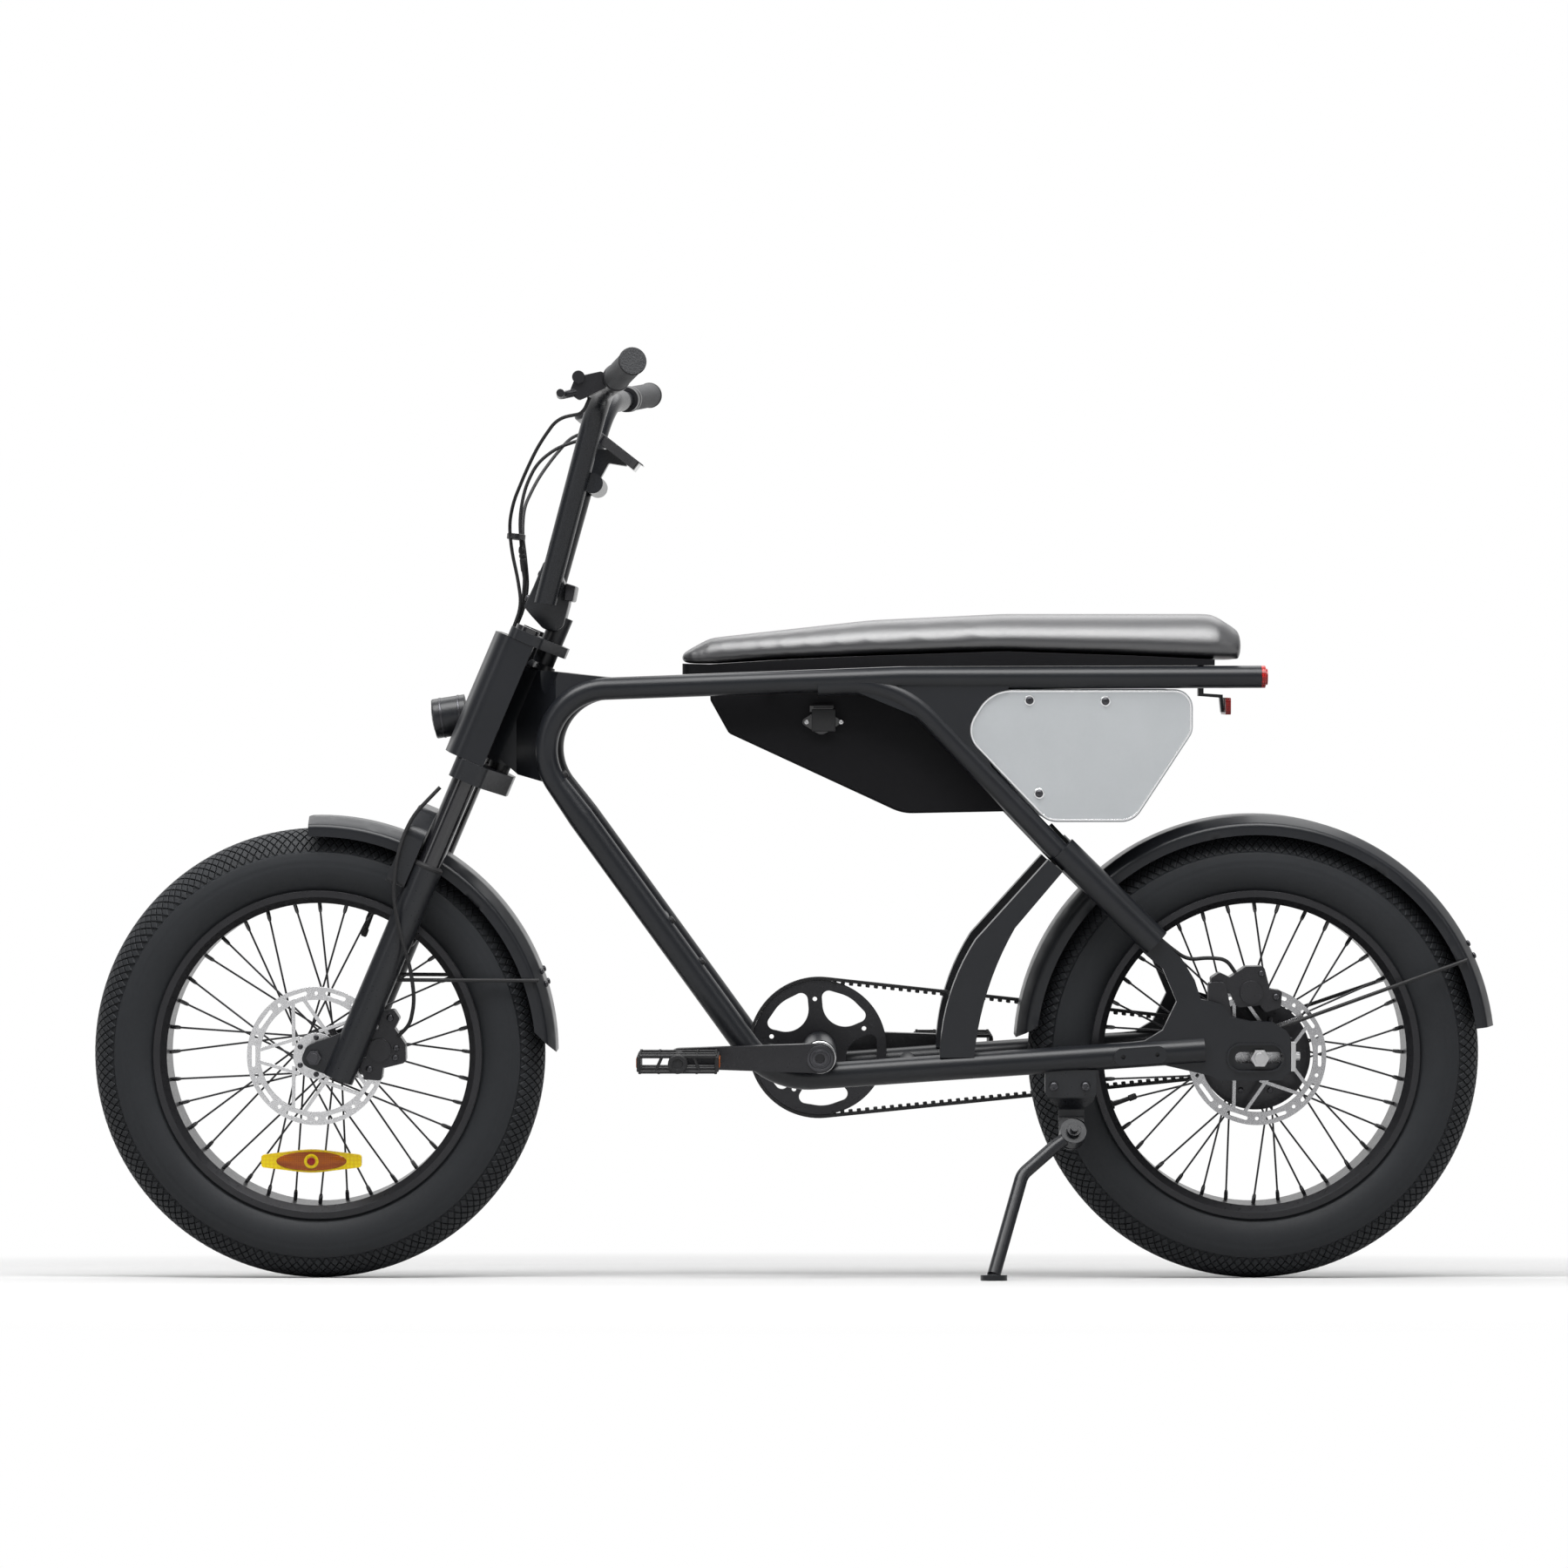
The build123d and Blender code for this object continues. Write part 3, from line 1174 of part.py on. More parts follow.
BAR_FOOT = Vector(318.5, 50.0, 862.0)
BAR_KNEE = Vector(240.0, 100.0, 1150.0)
BAR_END = Vector(189.5, 368.0, 1176.0)
BAR_KNEE_RADIUS = 62.0
GRIP_BAR_DIAMETER = 22.2
GRIP_LENGTH = 128.0
bar_out = (BAR_END - BAR_KNEE).normalized()
bar_narrow = BAR_END - bar_out * (GRIP_LENGTH + 60)


def mirrored(point):
    """The same point on the other side of the bike."""
    return Vector(point.X, -point.Y, point.Z)


with BuildPart() as handlebar:
    run_tube((bar_narrow, BAR_KNEE, BAR_FOOT), [BAR_KNEE_RADIUS], BAR_DIAMETER)
    with Locations(Plane(origin=bar_narrow, z_dir=bar_out)):
        Cone(BAR_DIAMETER / 2, GRIP_BAR_DIAMETER / 2, 30,
             align=(Align.CENTER, Align.CENTER, Align.MIN))
    with Locations(Plane(origin=BAR_END, z_dir=bar_out * -1)):
        Cylinder(GRIP_BAR_DIAMETER / 2, GRIP_LENGTH + 35,
                 align=(Align.CENTER, Align.CENTER, Align.MIN))
    mirror(about=Plane.XZ)
    add(stem.part, mode=Mode.SUBTRACT)
pieces["handlebar"] = handlebar

# Brake lever beside its clamp, in X and Z from the middle of the clamp
LEVER_BODY = ((12.0, -12.0), (46.0, -27.0), (58.0, -18.0), (50.0, 2.0), (14.0, 10.0))
LEVER_BODY_ROUND = 5.0
LEVER_BODY_WIDTH = 16.0
LEVER_CAP_PLACE = (46.0, 2.0)
LEVER_CAP_RADIUS = 8.0
# Blade of the lever, from the pivot out along the grip (ahead, outward, up)
LEVER_BLADE = ((46.0, 0.0, -16.0), (68.0, 18.0, -22.0), (64.0, 112.0, -24.0))
LEVER_BLADE_DIAMETER = 10.0
lever_hubs = {}
for side_name, side in SIDES:
    grip_end = BAR_END if side > 0 else mirrored(BAR_END)
    grip_out = bar_out if side > 0 else mirrored(bar_out)
    with BuildPart() as grip:
        with Locations(Plane(origin=grip_end + grip_out * 3, z_dir=grip_out * -1)):
            Cylinder(GRIP_DIAMETER / 2, GRIP_LENGTH,
                     align=(Align.CENTER, Align.CENTER, Align.MIN))
        with Locations(Plane(origin=grip_end + grip_out * FIT, z_dir=grip_out * -1)):
            Cylinder(GRIP_BAR_DIAMETER / 2 + FIT / 2, GRIP_LENGTH + 10,
                     align=(Align.CENTER, Align.CENTER, Align.MIN), mode=Mode.SUBTRACT)
    pieces[f"grip_{side_name}"] = grip
    lever_hub = grip_end - grip_out * (GRIP_LENGTH + 14)
    lever_hubs[side_name] = lever_hub
    with BuildPart() as lever:
        with Locations(Plane(origin=lever_hub, z_dir=grip_out)):
            Cylinder(17, 18)
            Cylinder(GRIP_BAR_DIAMETER / 2 + FIT / 2, 30, mode=Mode.SUBTRACT)
        with BuildSketch(side_plane(lever_hub.Y)):
            with BuildLine():
                lever_outline = [(lever_hub.X + x, lever_hub.Z + z) for x, z in LEVER_BODY]
                FilletPolyline(*lever_outline, radius=LEVER_BODY_ROUND, close=True)
            make_face()
        extrude(amount=LEVER_BODY_WIDTH / 2, both=True)
        cap_place = lever_hub + Vector(LEVER_CAP_PLACE[0], 0, LEVER_CAP_PLACE[1])
        with Locations(Plane(origin=cap_place, z_dir=(0, 1, 0))):
            Cylinder(LEVER_CAP_RADIUS, LEVER_BODY_WIDTH + 6)
        blade = [lever_hub + Vector(x, side * y, z) for x, y, z in LEVER_BLADE]
        run_tube(blade, [20], LEVER_BLADE_DIAMETER)
        with Locations(Plane(origin=lever_hub, z_dir=grip_out)):
            Cylinder(GRIP_BAR_DIAMETER / 2 + FIT / 2, 60, mode=Mode.SUBTRACT)
    pieces[f"brake_lever_{side_name}"] = lever

# Display: a flat plate on a bracket that crosses behind the uprights
DISPLAY_TILT = 38.0
DISPLAY_PLACE = (220.0, 1080.0)
DISPLAY_LENGTH = 64.0
DISPLAY_WIDTH = 84.0
DISPLAY_THICKNESS = 12.0
DISPLAY_BAR_PLACE = (250.0, 1037.0)
display_back = Vector(-sin(radians(DISPLAY_TILT)), 0, cos(radians(DISPLAY_TILT)))
with BuildPart() as display:
    with BuildSketch(Plane(origin=(DISPLAY_PLACE[0], 0, DISPLAY_PLACE[1]), x_dir=(0, 1, 0),
                           z_dir=display_back)):
        RectangleRounded(DISPLAY_WIDTH, DISPLAY_LENGTH, 8)
    extrude(amount=DISPLAY_THICKNESS / 2, both=True)
pieces["display"] = display

with BuildPart() as display_bracket:
    with BuildSketch(side_plane(0)):
        with BuildLine():
            FilletPolyline(
                (243, 1046), (232, 1066), (208, 1062), (222, 1084), (250, 1084), (262, 1040),
                radius=(3, 3, 1, 1, 6, 3), close=True,
            )
        make_face()
    extrude(amount=13, both=True)
    with BuildSketch(side_plane(0)):
        with Locations(DISPLAY_BAR_PLACE):
            Circle(13)
    extrude(amount=84, both=True)
    add(handlebar.part, mode=Mode.SUBTRACT)
    add(display.part, mode=Mode.SUBTRACT)
pieces["display_bracket"] = display_bracket

# Front fender

FRONT_FENDER_HALF_WIDTH = 54.0
FRONT_FENDER_SKIRT = 26.0
FRONT_FENDER_START = 88.0
FRONT_FENDER_SPAN = 93.0
front_wheel_axis = Axis((FRONT_X, 0, AXLE_Z), FENDER_AXIS_DIRECTION)
front_fender_section = fender_section(
    FRONT_X, FRONT_FENDER_RADIUS, FRONT_FENDER_HALF_WIDTH, FRONT_FENDER_SKIRT
).rotate(front_wheel_axis, FRONT_FENDER_START - 90)
with BuildPart() as front_fender:
    revolve(front_fender_section, axis=front_wheel_axis, revolution_arc=FRONT_FENDER_SPAN)
pieces["front_fender"] = front_fender

# Front axle and its nuts

FRONT_NUT_DIAMETER = 20.0
front_nut_y = LEG_Y - 4 + 7
with BuildPart() as front_axle:
    with BuildSketch(side_plane(0)):
        with Locations((FRONT_X, AXLE_Z)):
            Circle(FRONT_AXLE_DIAMETER / 2)
    extrude(amount=front_nut_y + 12, both=True)
    for side_name, side in SIDES:
        with BuildSketch(side_plane(side * (front_nut_y + FIT))):
            with Locations((FRONT_X, AXLE_Z)):
                RegularPolygon(FRONT_NUT_DIAMETER / 2, 6)
        extrude(amount=-side * 9)
pieces["front_axle"] = front_axle

# Side stand: a bracket under the left chainstay and the folding leg

STAND_PIVOT = Vector(-369.0, 100.0, 198.0)
STAND_BAR_DIAMETER = 17.0
STAND_HEAD_RADIUS = 17.0
STAND_HEAD_THICKNESS = 18.0
STAND_PIN_RADIUS = 5.0
STAND_PAD_RADIUS = 17.0
STAND_PAD_THICKNESS = 7.0
STAND_REACH_AHEAD = 111.4
STAND_REACH_OUT = 105.0
# The folded leg in its own plane: places from the pivot to the foot, in X and Z
STAND_FOLDED = ((-26.0, -16.0), (-78.0, -42.0), (-222.0, -42.0))

lean = radians(LEAN_ANGLE)
floor_drop = SECTION_RADIUS * (1 - cos(lean))
tyre_foot = AXLE_Z - TYRE_RADIUS


def floor_height(y):
    """The height of the floor under the leaned bike, in the upright bike's frame."""
    return tyre_foot + y * tan(lean) - floor_drop / cos(lean)


folded_foot = Vector(STAND_FOLDED[2][0], 0, STAND_FOLDED[2][1])
stand_length = folded_foot.length
foot_y = STAND_PIVOT.Y + STAND_REACH_OUT
foot_drop = STAND_PIVOT.Z - floor_height(foot_y) - STAND_PAD_THICKNESS
foot_ahead = (stand_length**2 - STAND_REACH_OUT**2 - foot_drop**2) ** 0.5
standing_foot = Vector(foot_ahead, STAND_REACH_OUT, -foot_drop)
stand_axis = standing_foot.cross(folded_foot).normalized()
STAND_FOLD_ANGLE = standing_foot.get_angle(folded_foot)

stand_hinge = Axis(STAND_PIVOT, stand_axis)
stand_line = [STAND_PIVOT]
for along_x, along_z in STAND_FOLDED:
    outward = -(stand_axis.X * along_x + stand_axis.Z * along_z) / stand_axis.Y
    stand_line.append(STAND_PIVOT + Vector(along_x, outward, along_z))
with BuildPart() as stand_folded:
    run_tube(stand_line, [14, 30], STAND_BAR_DIAMETER)
    with Locations(Plane(origin=STAND_PIVOT, z_dir=stand_axis)):
        Cylinder(STAND_HEAD_RADIUS, STAND_HEAD_THICKNESS)
with BuildPart() as stand_leg:
    add(stand_folded.part.rotate(stand_hinge, -STAND_FOLD_ANGLE))
    with Locations(Plane(origin=STAND_PIVOT, z_dir=stand_axis)):
        Cylinder(STAND_PIN_RADIUS + FIT / 6, STAND_HEAD_THICKNESS + 2, mode=Mode.SUBTRACT)
    pad_top = STAND_PIVOT + standing_foot
    with Locations(Plane(origin=pad_top, z_dir=(0, sin(lean), -cos(lean)))):
        Cylinder(STAND_PAD_RADIUS, STAND_PAD_THICKNESS,
                 align=(Align.CENTER, Align.CENTER, Align.MIN))
        Cylinder(STAND_BAR_DIAMETER / 2, STAND_PAD_THICKNESS / 2)
pieces["stand_leg"] = stand_leg

# Stand bracket: a casting under the left chainstay, a slanted neck and the hinge pin
BOSS_RADIUS = 15.0
BOSS_THICKNESS = 10.0
boss_face = STAND_HEAD_THICKNESS / 2 + FIT
with BuildPart() as stand_bracket:
    with BuildSketch(side_plane(LOOP_Y)):
        with BuildLine():
            FilletPolyline(
                (-334, 280), (-334, 250), (-342, 238), (-352, 230), (-353, 178), (-383, 178),
                (-386, 230), (-396, 238), (-400, 250), (-400, 280),
                radius=(1, 4, 6, 6, 12, 12, 6, 6, 4, 1), close=True,
            )
        make_face()
    extrude(amount=24, both=True)
    with BuildSketch(Plane(origin=(-410, 0, 0), x_dir=(0, 1, 0), z_dir=(1, 0, 0))):
        with BuildLine():
            FilletPolyline(
                (76, 285), (96, 285), (96, 244), (79, 228), (79, 218), (99, 177), (82, 177),
                (66, 214), (66, 236), (76, 250),
                radius=(1, 1, 6, 4, 6, 1, 1, 8, 6, 4), close=True,
            )
        make_face()
    extrude(amount=90, mode=Mode.INTERSECT)
    with Locations(Plane(origin=STAND_PIVOT, z_dir=stand_axis)):
        with Locations((0, 0, -boss_face)):
            Cylinder(BOSS_RADIUS + 11, 60, mode=Mode.SUBTRACT,
                     align=(Align.CENTER, Align.CENTER, Align.MIN))
            Cylinder(BOSS_RADIUS, BOSS_THICKNESS,
                     align=(Align.CENTER, Align.CENTER, Align.MAX))
        Cylinder(STAND_PIN_RADIUS, STAND_HEAD_THICKNESS + 2 * BOSS_THICKNESS)
        with Locations((0, 0, boss_face)):
            Cylinder(BOSS_RADIUS * 0.6, 5, align=(Align.CENTER, Align.CENTER, Align.MIN))
    add(frame_sides["left"].part, mode=Mode.SUBTRACT)
pieces["stand_bracket"] = stand_bracket

# Brake calipers round the rims of the rotors, with their adapters
# (name, axle X, turn of the caliper from +X)
CALIPERS = (("front", FRONT_X, 174.0), ("rear", REAR_X, 84.0))
# Plate between the rear caliper's adapter and the inner face of the dropout, in X and Z
CALIPER_MOUNT = ((-546.0, 392.0), (-568.0, 392.0), (-577.0, 346.0), (-562.0, 334.0),
                 (-546.0, 346.0))
CALIPER_MOUNT_Y = ROTOR_Y + 4.0
CALIPER_RADIUS = 84.0
CALIPER_Y_LOW = 44.0
CALIPER_Y_HIGH = 70.0
CALIPER_CAP_RADIUS = 15.0
CALIPER_CAP_HEIGHT = 3.0
CALIPER_ROUND = 6.0
# Outlines beside the axle: (distance out from the axle, distance along the rotor's turn)
CALIPER_BODY = ((66.0, -20.0), (66.0, 18.0), (88.0, 24.0), (116.0, 20.0), (118.0, -4.0),
                (104.0, -30.0), (84.0, -26.0))
ADAPTER_ARMS = (
    ((84.0, -22.0), (104.0, -22.0), (114.0, -38.0), (108.0, -50.0), (90.0, -50.0)),
    ((64.0, 10.0), (88.0, 14.0), (82.0, 40.0), (60.0, 36.0), (56.0, 16.0)),
)
ADAPTER_ROUND = 4.0
for end_name, axle_x, caliper_turn in CALIPERS:
    with BuildPart() as caliper:
        caliper_out = Vector(cos(radians(caliper_turn)), 0, sin(radians(caliper_turn)))
        caliper_plane = Plane(origin=(axle_x, CALIPER_Y_LOW, AXLE_Z), x_dir=caliper_out,
                              z_dir=(0, -1, 0))
        with BuildSketch(caliper_plane):
            with BuildLine():
                FilletPolyline(*CALIPER_BODY, radius=CALIPER_ROUND, close=True)
            make_face()
        extrude(amount=CALIPER_Y_LOW - CALIPER_Y_HIGH)
        with BuildSketch(caliper_plane):
            with Locations((CALIPER_RADIUS, 0)):
                Circle(CALIPER_CAP_RADIUS)
        extrude(amount=CALIPER_Y_LOW - CALIPER_Y_HIGH - CALIPER_CAP_HEIGHT)
        with BuildSketch(caliper_plane):
            for arm in ADAPTER_ARMS:
                with BuildLine():
                    FilletPolyline(*arm, radius=ADAPTER_ROUND, close=True)
                make_face()
        extrude(amount=CALIPER_Y_LOW - CALIPER_Y_HIGH)
        with BuildSketch(side_plane(ROTOR_Y)):
            with Locations((axle_x, AXLE_Z)):
                Circle(ROTOR_DIAMETER / 2 + 1.5)
        extrude(amount=ROTOR_THICKNESS / 2 + 1, both=True, mode=Mode.SUBTRACT)
        add(fork_lowers.part, mode=Mode.SUBTRACT)
        if end_name == "rear":
            mount_end = LOOP_Y - DROPOUT_THICKNESS / 2 - FIT
            with BuildSketch(side_plane(CALIPER_MOUNT_Y)):
                with BuildLine():
                    FilletPolyline(*CALIPER_MOUNT, radius=ADAPTER_ROUND, close=True)
                make_face()
            extrude(amount=CALIPER_MOUNT_Y - mount_end)
    pieces[f"{end_name}_caliper"] = caliper

# Brake hoses and bar cables, held all the way


def arc_radii(route):
    """The largest easy radius at each corner of a route."""
    radii = []
    for before, corner, after in zip(route, route[1:], route[2:]):
        shorter = min((corner - before).length, (after - corner).length)
        turn = radians((corner - before).get_angle(after - corner))
        radii.append(0.45 * shorter / tan(turn / 2))
    return radii


HOSE_DIAMETER = 5.0
CABLE_DIAMETER = 4.5
FRONT_HOSE = (
    (447.0, 92.0, 645.0), (480.8, 95.0, 609.8), (495.2, 98.0, 580.0), (503.5, 102.0, 547.0),
    (507.0, 104.0, 503.7), (497.0, 105.0, 453.3), (484.0, 104.0, 409.0),
    (480.0, 98.0, 369.0), (487.0, 84.0, 338.0), (503.0, 73.2, 322.0),
)
REAR_HOSE = (
    (-342.0, 61.0, 596.0), (-392.0, 61.5, 543.0), (-446.0, 60.0, 486.0), (-490.0, 59.5, 442.0),
    (-520.0, 59.0, 420.0), (-548.0, 58.5, 423.0), (-571.0, 58.0, 420.4), (-582.3, 57.5, 403.9),
)
hose_routes = {"front_brake_hose": FRONT_HOSE, "rear_brake_hose": REAR_HOSE}
for hose_name, hose_points in hose_routes.items():
    route = [Vector(*point) for point in hose_points]
    with BuildPart() as hose:
        run_tube(route, arc_radii(route), HOSE_DIAMETER)
    pieces[hose_name] = hose

# Bar cables from the levers and the display, down to the port in front of the stem
CABLE_EXIT = Vector(0.4, 0.0, -0.9165)
CABLE_FIRST_RUN = 22.0
# Under the middle of the lever's body (ahead of the clamp, inward, up)
LEVER_CABLE_EXIT = (32.0, 0.0, -23.1)
CABLE_END_Z = steer_point(52, 0, COWL_HIGH + 0.2).Z
CABLE_END_X = steer_point(52, 0, COWL_HIGH + 0.2).X
CABLE_ROUTES = (
    ((290.0, 196.0, 1115.0), (316.0, 150.0, 1084.0), (335.0, 104.0, 1052.0),
     (354.0, 56.0, 1014.0), (361.0, 32.0, 985.0), (358.0, 24.0, 950.0), (350.0, 22.0, 914.0),
     (345.5, 22.0, 880.0), (CABLE_END_X, 22.0, CABLE_END_Z)),
    ((288.0, -190.0, 1112.0), (312.0, -140.0, 1080.0), (331.0, -92.0, 1048.0),
     (346.0, -46.0, 1010.0), (347.0, -26.0, 975.0), (342.0, -17.0, 940.0),
     (339.0, -14.0, 906.0), (344.5, -14.0, 876.0), (CABLE_END_X, -14.0, CABLE_END_Z)),
    ((248.7, 12.0, 1098.0), (270.0, 12.0, 1096.0), (300.0, 11.0, 1086.0),
     (326.0, 8.0, 1066.0), (342.0, 4.0, 1034.0), (349.0, 2.0, 996.0), (347.0, 1.0, 956.0),
     (342.0, 0.0, 918.0), (345.5, 0.0, 880.0), (CABLE_END_X, 0.0, CABLE_END_Z)),
)
lever_starts = []
for lever_hub in lever_hubs.values():
    lever_starts.append([lever_hub + Vector(*LEVER_CABLE_EXIT),
                         lever_hub + Vector(*LEVER_CABLE_EXIT) + CABLE_EXIT * CABLE_FIRST_RUN])
lever_starts.append([])
with BuildPart() as bar_cables:
    for cable_start, cable_points in zip(lever_starts, CABLE_ROUTES):
        route = cable_start + [Vector(*point) for point in cable_points]
        run_tube(route, arc_radii(route), CABLE_DIAMETER)
pieces["bar_cables"] = bar_cables

# Fender stays
FENDER_STAY_DIAMETER = 5.0
# (name, lower end X, Y, Z, upper end X, Y, Z)
FENDER_STAYS = (
    ("rear_fender_stays", (-634.0, 77.2, 332.0), (-884.0, 57.0, 420.0)),
    ("front_fender_stays", (520.0, 57.2, 394.0), (322.0, 57.0, 393.0)),
)
for stay_name, near_end, far_end in FENDER_STAYS:
    with BuildPart() as fender_stays:
        run_tube((Vector(*near_end), Vector(*far_end)), [], FENDER_STAY_DIAMETER)
        mirror(about=Plane.XZ)
    pieces[stay_name] = fender_stays

# Park the bike: lean it to the left onto the stand and centre it over the origin

overall = Compound(children=[piece.part.moved(Location((0, 0, 0), (-LEAN_ANGLE, 0, 0)))
                             for piece in pieces.values()]).bounding_box()
PARKED = Location(
    (-overall.center().X, -overall.center().Y, floor_drop - tyre_foot * cos(lean))
) * Location((0, 0, 0), (-LEAN_ANGLE, 0, 0))

for name, piece in pieces.items():
    piece.part = Part(piece.part.moved(PARKED).wrapped)
    piece.part.label = name
    export_step(piece.part, f"parts/{name}.step")
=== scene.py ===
# %% [markdown]
# # Finishing a fat tire electric bike
# The bike's metal parts come from a CAD model, already in place. This notebook gives them
# their finishes and adds what CAD left plain: the tread, the leather seat, bolts, lenses
# and small fittings. It starts by loading the model and measuring it.

# %% Load the model
import json
from math import asin, atan2, cos, degrees, pi, radians, sin

import bmesh
import bpy
from mathutils import Matrix, Vector


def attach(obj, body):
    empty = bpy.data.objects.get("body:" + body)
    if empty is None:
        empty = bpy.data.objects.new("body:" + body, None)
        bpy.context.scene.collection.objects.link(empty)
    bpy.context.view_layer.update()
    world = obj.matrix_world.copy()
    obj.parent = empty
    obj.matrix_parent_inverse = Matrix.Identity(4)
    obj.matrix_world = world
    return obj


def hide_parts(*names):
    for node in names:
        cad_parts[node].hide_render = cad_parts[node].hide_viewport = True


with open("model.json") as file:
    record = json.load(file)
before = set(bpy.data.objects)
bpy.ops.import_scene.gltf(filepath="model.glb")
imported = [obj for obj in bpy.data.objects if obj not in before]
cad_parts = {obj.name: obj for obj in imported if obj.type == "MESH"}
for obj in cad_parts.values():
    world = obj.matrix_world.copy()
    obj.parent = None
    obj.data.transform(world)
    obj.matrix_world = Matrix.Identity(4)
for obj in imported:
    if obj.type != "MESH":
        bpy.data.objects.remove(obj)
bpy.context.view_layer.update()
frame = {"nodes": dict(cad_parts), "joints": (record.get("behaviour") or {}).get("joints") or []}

# %% [markdown]
# ## The leaned frame
# The bike leans on its side stand, so it is easier to model a piece on an upright bike and
# lean it afterwards. The two wheel joints say where the axles are and how far the bike leans.
# `PARK` turns upright places into leaned ones: X runs forward from the middle of the wheelbase,
# Y to the rider's left, and Z up from the ground under an upright bike.

# %% Upright places to leaned ones
joints = {joint["name"]: joint for joint in frame["joints"]}
rear_axle_place = Vector(joints["rear_wheel_spin"]["pos_m"])
front_axle_place = Vector(joints["front_wheel_spin"]["pos_m"])
side_axis = Vector(joints["rear_wheel_spin"]["axis"])
LEAN = atan2(-side_axis.z, side_axis.y)
AXLE_Z = 0.295
WHEELBASE = (front_axle_place - rear_axle_place).length
up_axis = Vector((0.0, sin(LEAN), cos(LEAN)))
middle = (rear_axle_place + front_axle_place) / 2 - up_axis * AXLE_Z
PARK = Matrix.Translation(middle) @ Matrix.Rotation(-LEAN, 4, "X")


def parked(x, y, z):
    """The leaned place of a point on the upright bike."""
    return PARK @ Vector((x, y, z))


print("lean", round(degrees(LEAN), 2), "degrees; wheelbase", round(WHEELBASE, 4), "m")

# %% [markdown]
# ## The camera
# The photograph was taken square to the bike's side with a long lens, so the camera keeps that
# view and leans with the bike. The image is 1800 x 1800 pixels.

# %% Camera
IMAGE_WIDTH = 1800
FOCAL_PIXELS = 5526.0
SENSOR_WIDTH = 36.0
CAMERA_DISTANCE = 6.3
CAMERA_HEIGHT = 0.7952
AIM_HEIGHT = 0.647
AIM_AHEAD = 0.0034

bpy.ops.object.camera_add(location=parked(0.0, CAMERA_DISTANCE, CAMERA_HEIGHT))
camera = bpy.context.object
camera.name = "camera"
view_line = parked(AIM_AHEAD, 0.0, AIM_HEIGHT) - camera.location
back = -view_line.normalized()
right = up_axis.cross(back).normalized()
upward = back.cross(right)
camera.matrix_world = Matrix.Translation(camera.location) @ Matrix(
    (right, upward, back)
).transposed().to_4x4()
camera.data.sensor_width = SENSOR_WIDTH
camera.data.lens = SENSOR_WIDTH * FOCAL_PIXELS / IMAGE_WIDTH
camera.data.clip_end = 60.0
bpy.context.scene.camera = camera
print("camera at", [round(v, 3) for v in camera.location], "lens", round(camera.data.lens, 1))

# %% [markdown]
# ## Node helpers
# Materials are built from nodes. One small helper adds a node and fills its sockets, and
# another starts a node group, which is a reusable effect with named inputs and outputs. The
# others add the kinds of node that come back most.

# %% Helpers for nodes


def add_node(tree, kind, links=(), **values):
    """Add a node, set its options and socket values, and link outputs into its inputs."""
    node = tree.nodes.new(kind)
    for name, value in values.items():
        if hasattr(node, name):
            setattr(node, name, value)
        else:
            node.inputs[name.replace("_", " ")].default_value = value
    for source, socket in links:
        tree.links.new(source, node.inputs[socket])
    return node


def new_group(name, inputs, outputs):
    """Start a shader node group. Inputs are (name, kind, default) and outputs (name, kind)."""
    group = bpy.data.node_groups.new(name, "ShaderNodeTree")
    for socket_name, kind, default in inputs:
        socket = group.interface.new_socket(socket_name, in_out="INPUT", socket_type=kind)
        socket.default_value = default
    for socket_name, kind in outputs:
        group.interface.new_socket(socket_name, in_out="OUTPUT", socket_type=kind)
    start = group.nodes.new("NodeGroupInput")
    end = group.nodes.new("NodeGroupOutput")
    return group, start, end


def set_inputs(node, **values):
    """Set socket values of a node, named with _ for a space."""
    for name, value in values.items():
        node.inputs[name.replace("_", " ")].default_value = value


def use_group(tree, group, **values):
    """Place a node group in a material and set its inputs."""
    node = tree.nodes.new("ShaderNodeGroup")
    node.node_tree = group
    set_inputs(node, **values)
    return node


def from_place(tree, kind, **values):
    """Add a pattern node that reads the object's own coordinates."""
    place = add_node(tree, "ShaderNodeTexCoord")
    return add_node(tree, kind, links=[(place.outputs["Object"], "Vector")], **values)


def combine(tree, operation, first, second):
    """Work out one value from two: the output of a Math node."""
    node = add_node(tree, "ShaderNodeMath", operation=operation, links=[(first, 0), (second, 1)])
    return node.outputs["Value"]


def remap(tree, source, **values):
    """Stretch a value from one range to another: the output of a Map Range node."""
    node = add_node(tree, "ShaderNodeMapRange", links=[(source, "Value")], **values)
    return node.outputs["Result"]


FLOAT = "NodeSocketFloat"
VECTOR = "NodeSocketVector"

# %% [markdown]
# ## Shared effects
# Paint on a real tube is never one flat value. `coat_texture` gives the fine orange peel of
# powder coat as a normal, a slow pattern that makes the colour uneven and a fine one for the
# gloss. Its Bevel node adds the tiny radius that every machined edge has: it catches the light
# without changing the mesh.

# %% Node group: coat texture
coat_texture, start, end = new_group(
    "coat_texture",
    [("Peel Scale", FLOAT, 900.0), ("Peel Depth", FLOAT, 0.12), ("Edge Radius", FLOAT, 0.0008)],
    [("Normal", VECTOR), ("Drift", FLOAT), ("Speckle", FLOAT)],
)
peel = from_place(coat_texture, "ShaderNodeTexNoise", Detail=2.0, Roughness=0.5)
coat_texture.links.new(start.outputs["Peel Scale"], peel.inputs["Scale"])
drift = from_place(coat_texture, "ShaderNodeTexNoise", Scale=14.0, Detail=3.0, Roughness=0.6)
speckle = from_place(coat_texture, "ShaderNodeTexNoise", Scale=260.0, Detail=4.0, Roughness=0.7)
edge = add_node(coat_texture, "ShaderNodeBevel", samples=4,
                links=[(start.outputs["Edge Radius"], "Radius")])
